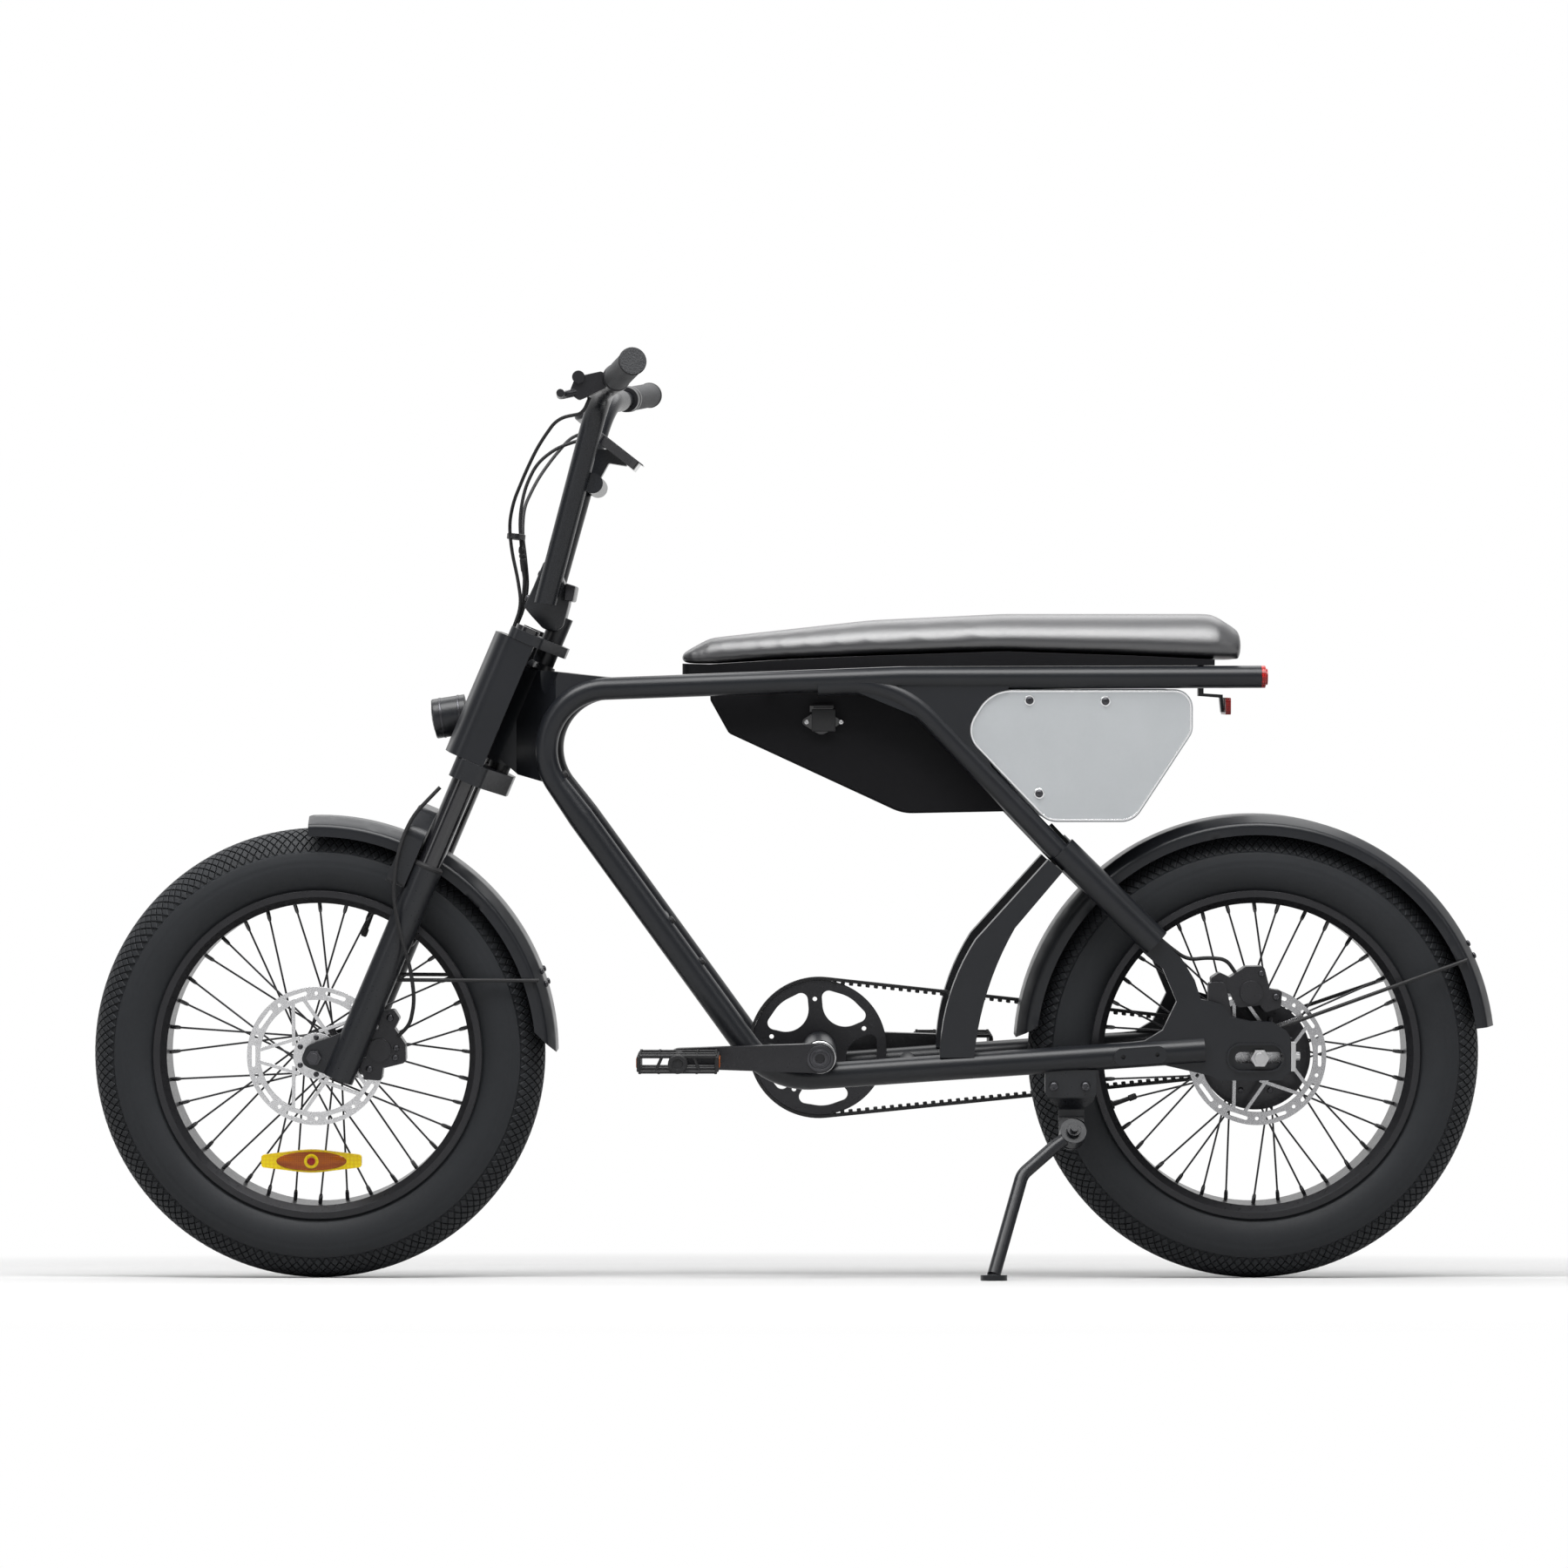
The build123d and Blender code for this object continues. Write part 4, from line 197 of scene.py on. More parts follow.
bump = add_node(coat_texture, "ShaderNodeBump", Distance=0.0004,
                links=[(peel.outputs["Fac"], "Height"),
                       (start.outputs["Peel Depth"], "Strength"),
                       (edge.outputs["Normal"], "Normal")])
for source, socket in ((bump.outputs["Normal"], "Normal"), (drift.outputs["Fac"], "Drift"),
                       (speckle.outputs["Fac"], "Speckle")):
    coat_texture.links.new(source, end.inputs[socket])
print("group", coat_texture.name, "with", len(coat_texture.nodes), "nodes")

# %% [markdown]
# ## Coated and bare finishes
# One function makes every hard finish: a base colour that drifts between two near shades, a
# roughness that drifts between two values, and the shared texture as its normal. The finishes
# are rows of a table, so a shade is changed in one place and every piece that wears it follows.

# %% A function for hard finishes


def new_material(name):
    """Start a material: the material, its node tree and its shader."""
    material = bpy.data.materials.new(name)
    material.use_nodes = True
    return material, material.node_tree, material.node_tree.nodes["Principled BSDF"]


def hard_finish(name, dark, light, rough, metallic=0.0, peel_scale=900.0, peel_depth=0.12,
                specular=0.5):
    """A finish whose colour and gloss drift between two values over the surface."""
    material, tree, shader = new_material(name)
    texture = use_group(tree, coat_texture, Peel_Scale=peel_scale, Peel_Depth=peel_depth)
    texture.name = "coat texture"
    tint = add_node(tree, "ShaderNodeMix", data_type="RGBA")
    tint.inputs[6].default_value = (*dark, 1.0)
    tint.inputs[7].default_value = (*light, 1.0)
    tree.links.new(texture.outputs["Drift"], tint.inputs["Factor"])
    gloss = remap(tree, texture.outputs["Speckle"], From_Min=0.3, From_Max=0.7,
                  To_Min=rough[0], To_Max=rough[1])
    for source, socket in ((tint.outputs[2], "Base Color"), (gloss, "Roughness"),
                           (texture.outputs["Normal"], "Normal")):
        tree.links.new(source, shader.inputs[socket])
    set_inputs(shader, Metallic=metallic, Specular_IOR_Level=specular)
    return material


def add_relief(material, pattern, **values):
    """Press a pattern into a hard finish, on top of its own texture."""
    tree = material.node_tree
    relief = add_node(tree, "ShaderNodeBump", **values,
                      links=[(pattern, "Height"),
                             (tree.nodes["coat texture"].outputs["Normal"], "Normal")])
    tree.links.new(relief.outputs["Normal"], tree.nodes["Principled BSDF"].inputs["Normal"])


# %% The hard finishes
# (name, dark shade, light shade, roughness range, metallic, peel scale, peel depth)
FINISHES = (
    ("frame_coat", (0.007, 0.008, 0.010), (0.012, 0.013, 0.016), (0.31, 0.35), 0.0, 900, 0.01),
    ("fork_coat", (0.010, 0.011, 0.013), (0.016, 0.017, 0.020), (0.26, 0.36), 0.0, 900, 0.06),
    ("box_coat", (0.004, 0.004, 0.005), (0.007, 0.007, 0.008), (0.50, 0.60), 0.0, 1500, 0.16),
    ("bar_coat", (0.007, 0.008, 0.010), (0.012, 0.013, 0.016), (0.26, 0.30), 0.0, 900, 0.01),
    ("gloss_black", (0.008, 0.008, 0.010), (0.012, 0.012, 0.014), (0.10, 0.18), 0.0, 700, 0.03),
    ("anodised_black", (0.014, 0.014, 0.016), (0.026, 0.026, 0.029), (0.26, 0.38), 0.5,
     1600, 0.06),
    ("moulded_black", (0.010, 0.010, 0.011), (0.017, 0.017, 0.018), (0.46, 0.58), 0.0,
     1200, 0.14),
    ("rubber_black", (0.011, 0.011, 0.012), (0.018, 0.018, 0.019), (0.56, 0.70), 0.0, 1000, 0.20),
    ("tyre_rubber", (0.012, 0.013, 0.015), (0.018, 0.020, 0.023), (0.52, 0.64), 0.0, 700, 0.22),
    ("zinc", (0.42, 0.42, 0.43), (0.56, 0.56, 0.56), (0.26, 0.40), 1.0, 1500, 0.08),
    ("dark_steel", (0.045, 0.045, 0.050), (0.080, 0.080, 0.086), (0.28, 0.40), 0.9, 1500, 0.06),
    ("blasted_aluminium", (0.44, 0.46, 0.475), (0.50, 0.52, 0.535), (0.46, 0.56), 0.55,
     2400, 0.25),
    ("polished_edge", (0.72, 0.73, 0.74), (0.80, 0.80, 0.81), (0.12, 0.20), 1.0, 1500, 0.02),
)
# How strongly the black finishes mirror the studio: 0.5 is the usual value.
SHEEN = {"frame_coat": 0.34, "fork_coat": 0.34, "bar_coat": 0.34, "box_coat": 0.12,
         "moulded_black": 0.35, "rubber_black": 0.3, "tyre_rubber": 0.28}
finishes = {}
for name, dark, light, rough, metallic, peel_scale, peel_depth in FINISHES:
    finishes[name] = hard_finish(name, dark, light, rough, metallic, peel_scale, peel_depth,
                                 specular=SHEEN.get(name, 0.5))
for name in ("frame_coat", "bar_coat"):
    finishes[name].node_tree.nodes["coat texture"].inputs["Edge Radius"].default_value = 0.0
set_inputs(finishes["gloss_black"].node_tree.nodes["Principled BSDF"],
           Coat_Weight=0.3, Coat_Roughness=0.12)
print("finishes", sorted(finishes))

# %% [markdown]
# ## Rotors with a brushed track
# A brake rotor is ground flat, which leaves fine rings round its axle. A wave pattern in rings,
# centred on the axle by a Mapping node, presses them in as a bump: the disc itself stays flat.

# %% Ring-ground steel


def ring_ground(name, axle_x, shade):
    """Steel with fine rings round one axle."""
    material = hard_finish(name, shade[0], shade[1], (0.22, 0.34), metallic=1.0, peel_depth=0.02)
    tree = material.node_tree
    centred = from_place(tree, "ShaderNodeMapping", vector_type="TEXTURE")
    centred.inputs["Location"].default_value = parked(axle_x, 0.0, AXLE_Z)
    centred.inputs["Rotation"].default_value = (-LEAN, 0.0, 0.0)
    rings = add_node(tree, "ShaderNodeTexWave", wave_type="RINGS", rings_direction="Y",
                     Scale=260.0, Distortion=1.5, Detail=2.0,
                     links=[(centred.outputs["Vector"], "Vector")])
    add_relief(material, rings.outputs["Fac"], Strength=0.12, Distance=0.0002)
    return material


FRONT_X = WHEELBASE / 2
REAR_X = -WHEELBASE / 2
finishes["front_rotor_steel"] = ring_ground("front_rotor_steel", FRONT_X,
                                            ((0.50, 0.50, 0.51), (0.62, 0.62, 0.63)))
finishes["rear_rotor_steel"] = ring_ground("rear_rotor_steel", REAR_X,
                                           ((0.30, 0.30, 0.31), (0.42, 0.42, 0.43)))
print("rotor finishes for axles at", round(REAR_X, 3), round(FRONT_X, 3))

# %% [markdown]
# ## Lenses
# A reflector is clear plastic over a back full of tiny prisms. From outside that reads as a
# deep colour with a fine hexagonal sparkle, so a Voronoi pattern drives its colour and bump.

# %% Prismatic plastic


def prismatic(name, deep, bright, cell_scale, metallic):
    """Coloured lens plastic with a fine pattern of prisms."""
    material, tree, shader = new_material(name)
    cells = from_place(tree, "ShaderNodeTexVoronoi", Scale=cell_scale, Randomness=0.15)
    tint = add_node(tree, "ShaderNodeValToRGB", links=[(cells.outputs["Distance"], "Fac")])
    tint.color_ramp.elements[0].color = (*bright, 1.0)
    tint.color_ramp.elements[1].color = (*deep, 1.0)
    tint.color_ramp.elements[1].position = 0.6
    relief = add_node(tree, "ShaderNodeBump", Strength=0.35, Distance=0.0006,
                      links=[(cells.outputs["Distance"], "Height")])
    tree.links.new(tint.outputs["Color"], shader.inputs["Base Color"])
    tree.links.new(relief.outputs["Normal"], shader.inputs["Normal"])
    set_inputs(shader, Roughness=0.30, Metallic=metallic, Specular_IOR_Level=0.3,
               Coat_Weight=0.2, Coat_Roughness=0.06)
    return material


# (name, deep colour, bright colour, cells a metre, metallic)
LENSES = (
    ("red_lens", (0.22, 0.004, 0.004), (0.62, 0.02, 0.015), 330.0, 0.0),
    ("yellow_lens", (0.86, 0.58, 0.0), (0.98, 0.80, 0.0), 200.0, 0.0),
    ("orange_lens", (0.30, 0.055, 0.002), (0.62, 0.17, 0.006), 520.0, 0.0),
    ("lamp_reflector", (0.50, 0.50, 0.50), (0.86, 0.86, 0.86), 160.0, 1.0),
)
for row in LENSES:
    finishes[row[0]] = prismatic(*row)
print("lenses", [row[0] for row in LENSES])

# %% [markdown]
# ## Leather and knurled rubber
# The seat's cover is a semi-gloss leather: rounded cells and a finer noise make its grain, which
# is pressed in as a bump under a satin coat. The grips get a fine knurl in the same way.

# %% Leather and grip finishes


def grained(name, dark, light, rough, cell_scale, depth, specular):
    """A skin with a grain of rounded cells."""
    material = hard_finish(name, dark, light, rough, peel_scale=2200.0, peel_depth=0.04,
                           specular=specular)
    tree = material.node_tree
    cells = from_place(tree, "ShaderNodeTexVoronoi", feature="SMOOTH_F1", Scale=cell_scale,
                       Smoothness=0.6)
    creases = from_place(tree, "ShaderNodeTexNoise", Scale=cell_scale * 0.4, Detail=4.0)
    height = combine(tree, "ADD", cells.outputs["Distance"], creases.outputs["Fac"])
    add_relief(material, height, Strength=depth, Distance=0.0005, invert=True)
    return material


finishes["seat_leather"] = grained("seat_leather", (0.012, 0.012, 0.014), (0.019, 0.019, 0.022),
                                   (0.34, 0.44), 700.0, 0.16, specular=1.0)
set_inputs(finishes["seat_leather"].node_tree.nodes["Principled BSDF"],
           Coat_Weight=0.5, Coat_Roughness=0.34)
finishes["grip_rubber"] = grained("grip_rubber", (0.030, 0.031, 0.033), (0.046, 0.047, 0.050),
                                  (0.58, 0.70), 480.0, 0.7, specular=0.3)
print("leather and grips ready")

# %% [markdown]
# ## Finishes on the CAD nodes
# Every CAD node whose shape is right keeps its mesh and only gets a finish.

# %% Assign the finishes
# (finish, the nodes that wear it)
WEARERS = (
    ("frame_coat", ("frame_left", "frame_right", "neck", "bb_shell", "cross_tubes",
                    "carrier_plate_left", "carrier_plate_right", "rear_fender",
                    "front_fender", "cowl")),
    ("box_coat", ("battery_case", "controller_box", "seat_base")),
    ("fork_coat", ("fork_crowns", "fork_lowers", "stem", "headlight", "stand_leg",
                   "stand_bracket", "reflector_bracket")),
    ("bar_coat", ("handlebar", "display_bracket")),
    ("gloss_black", ("stanchions", "display", "charge_port")),
    ("anodised_black", ("brake_lever_left", "brake_lever_right", "front_caliper",
                        "rear_caliper", "rear_pulley", "chainring", "crank", "front_hub",
                        "rear_hub", "front_rim", "rear_rim")),
    ("moulded_black", ("left_pedal", "right_pedal", "rear_fender_stays",
                       "front_fender_stays")),
    ("rubber_black", ("belt", "front_brake_hose", "rear_brake_hose", "bar_cables")),
    ("grip_rubber", ("grip_left", "grip_right")),
    ("front_rotor_steel", ("front_rotor",)),
    ("rear_rotor_steel", ("rear_rotor",)),
    ("dark_steel", ("front_axle",)),
    ("zinc", ("rear_axle", "axle_tensioners")),
    ("blasted_aluminium", ("side_panel_left", "side_panel_right")),
    ("red_lens", ("tail_lights", "rear_reflector")),
    ("yellow_lens", ("wheel_reflector",)),
    ("tyre_rubber", ("front_tyre", "rear_tyre")),
    ("seat_leather", ("seat_cushion",)),
)


def wear(piece, finish):
    """Give a piece one finish."""
    piece.data.materials.clear()
    piece.data.materials.append(finishes[finish])


for finish, node_names in WEARERS:
    for node_name in node_names:
        wear(frame["nodes"][node_name], finish)
bare = set(frame["nodes"]) - {n for _, names in WEARERS for n in names}
print("nodes still without a finish", sorted(bare))

# %% [markdown]
# ## Modelling helpers
# New pieces are modelled upright, in millimetres, at the origin. `turned` draws a circle and
# extrudes it ring by ring, as on a lathe. `block` is a box with rounded edges, and `plate` a
# flat piece cut to an outline. `set_in` turns a piece to face its way, puts it in place on the
# leaned bike and applies that, so that its object ends up at the origin. `spread` copies one
# pattern to many places and joins the copies into one piece.

# %% Helpers for objects
MM = 0.001
MERGE_DISTANCE = 0.02 * MM


def alone():
    """Leave edit mode and deselect everything."""
    if bpy.context.object and bpy.context.object.mode != "OBJECT":
        bpy.ops.object.mode_set(mode="OBJECT")
    bpy.ops.object.select_all(action="DESELECT")


def only(piece):
    """Select one piece and make it active."""
    alone()
    piece.select_set(True)
    bpy.context.view_layer.objects.active = piece


def edit():
    """Enter edit mode with everything selected."""
    bpy.ops.object.mode_set(mode="EDIT")
    bpy.ops.mesh.select_all(action="SELECT")


def close_edit():
    """Turn all faces outward and leave edit mode."""
    bpy.ops.mesh.select_all(action="SELECT")
    bpy.ops.mesh.normals_make_consistent(inside=False)
    bpy.ops.object.mode_set(mode="OBJECT")


def apply_place():
    """Move a selected piece's place into its mesh."""
    bpy.ops.object.transform_apply(location=True, rotation=True, scale=True)


def apply_step(piece, kind, **values):
    """Add a modifier, set its values and apply it."""
    only(piece)
    step = piece.modifiers.new("step", kind)
    for key, value in values.items():
        setattr(step, key, value)
    bpy.ops.object.modifier_apply(modifier=step.name)


def copy_of(piece, name):
    """A copy with its own mesh."""
    copy = piece.copy()
    copy.data = piece.data.copy()
    copy.name = name
    bpy.context.collection.objects.link(copy)
    return copy


def merged_copy(node, name):
    """A copy of a CAD node whose doubled corners are merged."""
    piece = copy_of(node, name)
    only(piece)
    edit()
    bpy.ops.mesh.remove_doubles(threshold=MERGE_DISTANCE)
    bpy.ops.object.mode_set(mode="OBJECT")
    return piece


def join(pieces, name):
    """Join pieces into the first of them."""
    alone()
    for piece in pieces:
        piece.select_set(True)
    bpy.context.view_layer.objects.active = pieces[0]
    bpy.ops.object.join()
    pieces[0].name = name
    return pieces[0]


def drop(piece):
    """Delete a pattern that has been copied."""
    bpy.data.objects.remove(piece, do_unlink=True)


# %% Helpers for shapes


def turned(name, steps, sides=24):
    """A round piece grown ring by ring: steps are (radius, height) in millimetres."""
    alone()
    radius, height = steps[0]
    bpy.ops.mesh.primitive_circle_add(vertices=sides, radius=radius * MM,
                                      fill_type="NGON", location=(0, 0, height * MM))
    piece = bpy.context.object
    piece.name = name
    edit()
    for next_radius, next_height in steps[1:]:
        rise = (next_height - height) * MM
        bpy.ops.mesh.extrude_region_move(TRANSFORM_OT_translate={"value": (0, 0, rise)})
        widen = next_radius / radius
        bpy.ops.transform.resize(value=(widen, widen, 1),
                                 center_override=(0, 0, next_height * MM))
        radius, height = next_radius, next_height
    close_edit()
    apply_place()
    return piece


def block(name, size, round_edge, segments=2, rise=0):
    """A box with rounded edges, in mm, its middle at the origin or raised above it."""
    alone()
    bpy.ops.mesh.primitive_cube_add(size=1)
    piece = bpy.context.object
    piece.name = name
    edit()
    bpy.ops.transform.resize(value=tuple(Vector(size) * MM))
    bpy.ops.transform.translate(value=(0, 0, rise * MM))
    bpy.ops.mesh.bevel(offset=round_edge * MM, segments=segments)
    bpy.ops.object.mode_set(mode="OBJECT")
    return piece


def plate(name, outline, low, high, round_edge):
    """A plate whose outline is given in (x, z) and whose faces stand at two values of y, in mm."""
    alone()
    bpy.ops.mesh.primitive_circle_add(vertices=len(outline), radius=1, fill_type="NGON")
    piece = bpy.context.object
    piece.name = name
    for vertex, (x, z) in zip(piece.data.vertices, outline):
        vertex.co = Vector((x, low, z)) * MM
    edit()
    bpy.ops.mesh.extrude_region_move(
        TRANSFORM_OT_translate={"value": (0, (high - low) * MM, 0)})
    bpy.ops.mesh.select_all(action="SELECT")
    bpy.ops.mesh.normals_make_consistent(inside=False)
    bpy.ops.mesh.bevel(offset=round_edge * MM, segments=2)
    bpy.ops.object.mode_set(mode="OBJECT")
    return piece


# %% Helpers for places
LEFT = (0, 1, 0)
SIDES = (("left", 1), ("right", -1))
AXLES = {"front": FRONT_X / MM, "rear": REAR_X / MM}
AXLE_UP = AXLE_Z / MM
# How far apart two faces may point, in degrees, and still be shaded as one surface
SMOOTH_TURN = 35


def way_out(turn):
    """The way out from an axle at a turn in degrees."""
    return Vector((cos(radians(turn)), 0, sin(radians(turn))))


def round_axle(wheel, radius, turn, across=0):
    """An upright place round a wheel's axle, in mm."""
    return Vector((AXLES[wheel], across, AXLE_UP)) + way_out(turn) * radius


def turn_to(place, direction=LEFT, roll=0, scale=(1, 1, 1)):
    """The matrix that stands a piece up along a direction at an upright place, in mm."""
    turn = Vector(direction).to_track_quat("Z", "Y").to_matrix().to_4x4()
    return (PARK @ Matrix.Translation(Vector(place) * MM) @ turn
            @ Matrix.Rotation(radians(roll), 4, "Z") @ Matrix.Diagonal((*scale, 1)))


def smooth(piece, degree):
    """Shade a piece smooth, with its sharp edges kept."""
    only(piece)
    bpy.ops.object.shade_smooth_by_angle(angle=radians(degree))


def set_in(piece, matrix, finish, body, degree=SMOOTH_TURN):
    """Put a finished piece in place, dress it and let it ride on a body."""
    only(piece)
    piece.matrix_world = matrix
    apply_place()
    wear(piece, finish)
    smooth(piece, degree)
    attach(piece, body)
    return piece


def spread(pattern, name, matrices, finish, body):
    """Copy a pattern to many places and join the copies into one piece."""
    copies = []
    for matrix in matrices:
        copies.append(copy_of(pattern, name))
        copies[-1].matrix_world = matrix
    piece = join(copies, name)
    return set_in(piece, piece.matrix_world.copy(), finish, body)


def fitting(name, steps, sides, matrix, finish, body, degree=SMOOTH_TURN):
    """A turned piece, put in place and dressed."""
    set_in(turned(name, steps, sides), matrix, finish, body, degree)


def fittings(name, steps, sides, matrices, finish, body):
    """Copies of one turned piece, joined and dressed."""
    pattern = turned("pattern", steps, sides)
    spread(pattern, name, matrices, finish, body)
    drop(pattern)


print("axles at", {wheel: round(x, 1) for wheel, x in AXLES.items()}, "mm")

# %% [markdown]
# ## Tyres
# The tread is a lattice of small diamonds on the crown that runs out in a zigzag at the
# shoulder. It could be a bump, but the edge of the tyre is seen against white, so the diamonds
# are real. One diamond is modelled flat, two Array modifiers repeat it, and the flat sheet is
# then rolled round the carcass. The carcass is a circle spun round the axle, a groove's depth
# smaller under the tread, and it replaces the CAD tyre with the same outer size.

# %% The carcass
TYRE_RADIUS = 295
SECTION = 48
RING = TYRE_RADIUS - SECTION
SECTION_CORNERS = 120
SPIN_STEPS = 144
# How far the section stays inside its full size: under the tread, on the shoulder, in the
# moulded line of the sidewall and on the rest of the wall
GROOVE, SHOULDER_DEPTH, LINE_DEPTH, WALL_DEPTH = 2.4, 0.2, 0.9, 0.4
# Turns from the top of the crown at which these change
TREAD_EDGE = radians(66)
SHOULDER_EDGE = TREAD_EDGE + radians(6)
LINE_EDGES = radians(84), radians(88)
# At the bead the section drops to the rim's bed and then runs in across it
BEAD_TURN = radians(132)
BEAD_DROP = radians(18)
BEAD_RUN = radians(30)
FLANGE_Y = 35.7
BEAD_RADIUS = 206.2
WALL_END = RING - 32.1


def section_place(turn):
    """Where a point of the tyre's section lies: across, and out from the axle, in mm."""
    size = abs(turn)
    side = 1 if turn >= 0 else -1
    if size <= BEAD_TURN:
        depth = WALL_DEPTH
        if size < TREAD_EDGE:
            depth = GROOVE
        elif size < SHOULDER_EDGE:
            depth = SHOULDER_DEPTH
        elif LINE_EDGES[0] < size < LINE_EDGES[1]:
            depth = LINE_DEPTH
        return side * (SECTION - depth) * sin(size), RING + (SECTION - depth) * cos(size)
    drop_share = min(1, (size - BEAD_TURN) / BEAD_DROP)
    run_share = max(0, (size - BEAD_TURN - BEAD_DROP) / BEAD_RUN)
    return side * FLANGE_Y * (1 - run_share), WALL_END + (BEAD_RADIUS - WALL_END) * drop_share


alone()
bpy.ops.mesh.primitive_circle_add(vertices=SECTION_CORNERS, radius=SECTION * MM)
carcass = bpy.context.object
for vertex in carcass.data.vertices:
    across, out = section_place(atan2(vertex.co.x, vertex.co.y))
    vertex.co = Vector((0, across, out)) * MM
edit()
bpy.ops.mesh.spin(steps=SPIN_STEPS, angle=2 * pi, center=(0, 0, 0), axis=(0, 1, 0))
bpy.ops.mesh.select_all(action="SELECT")
bpy.ops.mesh.remove_doubles(threshold=MERGE_DISTANCE)
close_edit()
print("carcass", len(carcass.data.polygons), "faces")

# %% The diamonds of the tread
DIAMONDS = 154
ALONG = 2 * pi * TYRE_RADIUS / DIAMONDS * MM
ROW_GAP = 16.4 * MM
DIAMOND = (5.05 * MM, 7 * MM, 1)
# A diamond's straight sides, its rounded top and how much that narrows
LUG_SIDE, LUG_TOP, LUG_TAPER = 1.9 * MM, 0.5 * MM, 0.86
# (rows across the tyre, shift along it in diamonds)
TREAD_ROWS = ((7, 0), (6, 0.5))
sheets = []
for rows, shift in TREAD_ROWS:
    alone()
    bpy.ops.mesh.primitive_circle_add(vertices=4, radius=1, fill_type="NGON")
    diamond = bpy.context.object
    edit()
    bpy.ops.transform.resize(value=DIAMOND)
    for lift in (LUG_SIDE, LUG_TOP):
        bpy.ops.mesh.extrude_region_move(TRANSFORM_OT_translate={"value": (0, 0, lift)})
    bpy.ops.transform.resize(value=(LUG_TAPER, LUG_TAPER, 1))
    bpy.ops.mesh.select_all(action="SELECT")
    bpy.ops.transform.translate(value=(shift * ALONG, -(rows - 1) / 2 * ROW_GAP, 0))
    close_edit()
    for count, step in ((rows, (0, ROW_GAP, 0)), (DIAMONDS, (ALONG, 0, 0))):
        apply_step(diamond, "ARRAY", count=count, use_relative_offset=False,
                   use_constant_offset=True, constant_offset_displace=step)
    sheets.append(diamond)
tread = join(sheets, "tread")
for vertex in tread.data.vertices:
    turn = vertex.co.x / (ALONG * DIAMONDS) * 2 * pi
    lean = vertex.co.y / (SECTION * MM)
    reach = (SECTION - GROOVE) * MM + vertex.co.z
    out = RING * MM + reach * cos(lean)
    vertex.co = Vector((out * sin(turn), reach * sin(lean), out * cos(turn)))
print("tread", len(tread.data.polygons), "faces")

# %% Both tyres
tyre_pattern = join([carcass, tread], "tyre_pattern")
for wheel, axle_x in (("front", FRONT_X), ("rear", REAR_X)):
    tyre = copy_of(tyre_pattern, f"{wheel}_tyre_tread")
    set_in(tyre, PARK @ Matrix.Translation((axle_x, 0, AXLE_Z)), "tyre_rubber",
           f"{wheel}_wheel", 30)
    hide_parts(f"{wheel}_tyre")
drop(tyre_pattern)

# %% [markdown]
# ## Spoke nipples and valves
# Each spoke ends in a brass nipple painted black, a little thicker than the wire. They stand at
# the same turns as the spokes, so one is modelled and placed 36 times a wheel. A valve stem
# points at the hub between two spokes.

# %% Nipples and valves
SPOKES = 36
RIM_INNER = 197.5
SPOKE_RIM_Y = 9
NIPPLE_STEPS = ((2, 0), (2.7, 0.6), (2.7, 9), (2.2, 12), (1.5, 13.5))
# (wheel, radius of the spoke holes in the hub, their distance from its middle, lead of a spoke
# in degrees)
SPOKED = (("front", 27.4, 34, 50), ("rear", 67.4, 30, 14))
for wheel, hole_radius, hole_y, spoke_lead in SPOKED:
    places = []
    for number in range(SPOKES):
        side = 1 if number % 2 else -1
        lead = spoke_lead if number % 4 < 2 else -spoke_lead
        rim_turn = 360 / SPOKES * number
        root = round_axle(wheel, hole_radius, rim_turn + lead, side * hole_y)
        tip = round_axle(wheel, RIM_INNER, rim_turn, side * SPOKE_RIM_Y)
        places.append(turn_to(tip, root - tip))
    fittings(f"{wheel}_nipples", NIPPLE_STEPS, 8, places, "gloss_black", f"{wheel}_wheel")

VALVE_STEPS = ((6, 0), (6, 2.5), (3.2, 3.5), (3, 24), (4.2, 24.5), (4.2, 33), (3, 35))
for wheel, turn in (("front", 110.3), ("rear", -20.4)):
    fitting(f"{wheel}_valve", VALVE_STEPS, 16,
            turn_to(round_axle(wheel, RIM_INNER, turn), -way_out(turn)), "rubber_black",
            f"{wheel}_wheel")
print("nipples and valves placed")

# %% [markdown]
# ## Bolts
# A button-head bolt is a low dome with a hexagon socket. One is modelled: a turned head, and a
# hexagonal cutter taken out of it with a Boolean modifier. Bigger and smaller bolts are scaled
# copies, listed by place, direction and radius. A polished washer lies under each panel bolt.

# %% One bolt
BOLT_RADIUS = 10
BOLT_STEPS = ((BOLT_RADIUS, -0.5), (BOLT_RADIUS, 1.6), (9.3, 3.6), (7.4, 5.4), (4, 6.4))
SOCKET_RADIUS, SOCKET_LENGTH, SOCKET_MIDDLE = 4.6 * MM, 8 * MM, 6.6 * MM
BOLT_ROLL = 15
bolt = turned("bolt", BOLT_STEPS)
alone()
bpy.ops.mesh.primitive_cylinder_add(vertices=6, radius=SOCKET_RADIUS, depth=SOCKET_LENGTH,
                                    location=(0, 0, SOCKET_MIDDLE))
cutter = bpy.context.object
apply_step(bolt, "BOOLEAN", object=cutter, operation="DIFFERENCE")
drop(cutter)


def set_bolts(name, rows, body, finish="dark_steel"):
    """Bolts in rows of (place, direction, radius in mm), each rolled a little further."""
    spread(bolt, name, [turn_to(place, direction, BOLT_ROLL * number, (radius / BOLT_RADIUS,) * 3)
                        for number, (place, direction, radius) in enumerate(rows)], finish, body)


def both_sides(rows):
    """Bolts on the left and their mirror images on the right."""
    return [((x, side * y, z), (0, side, 0), radius)
            for x, y, z, radius in rows for _, side in SIDES]


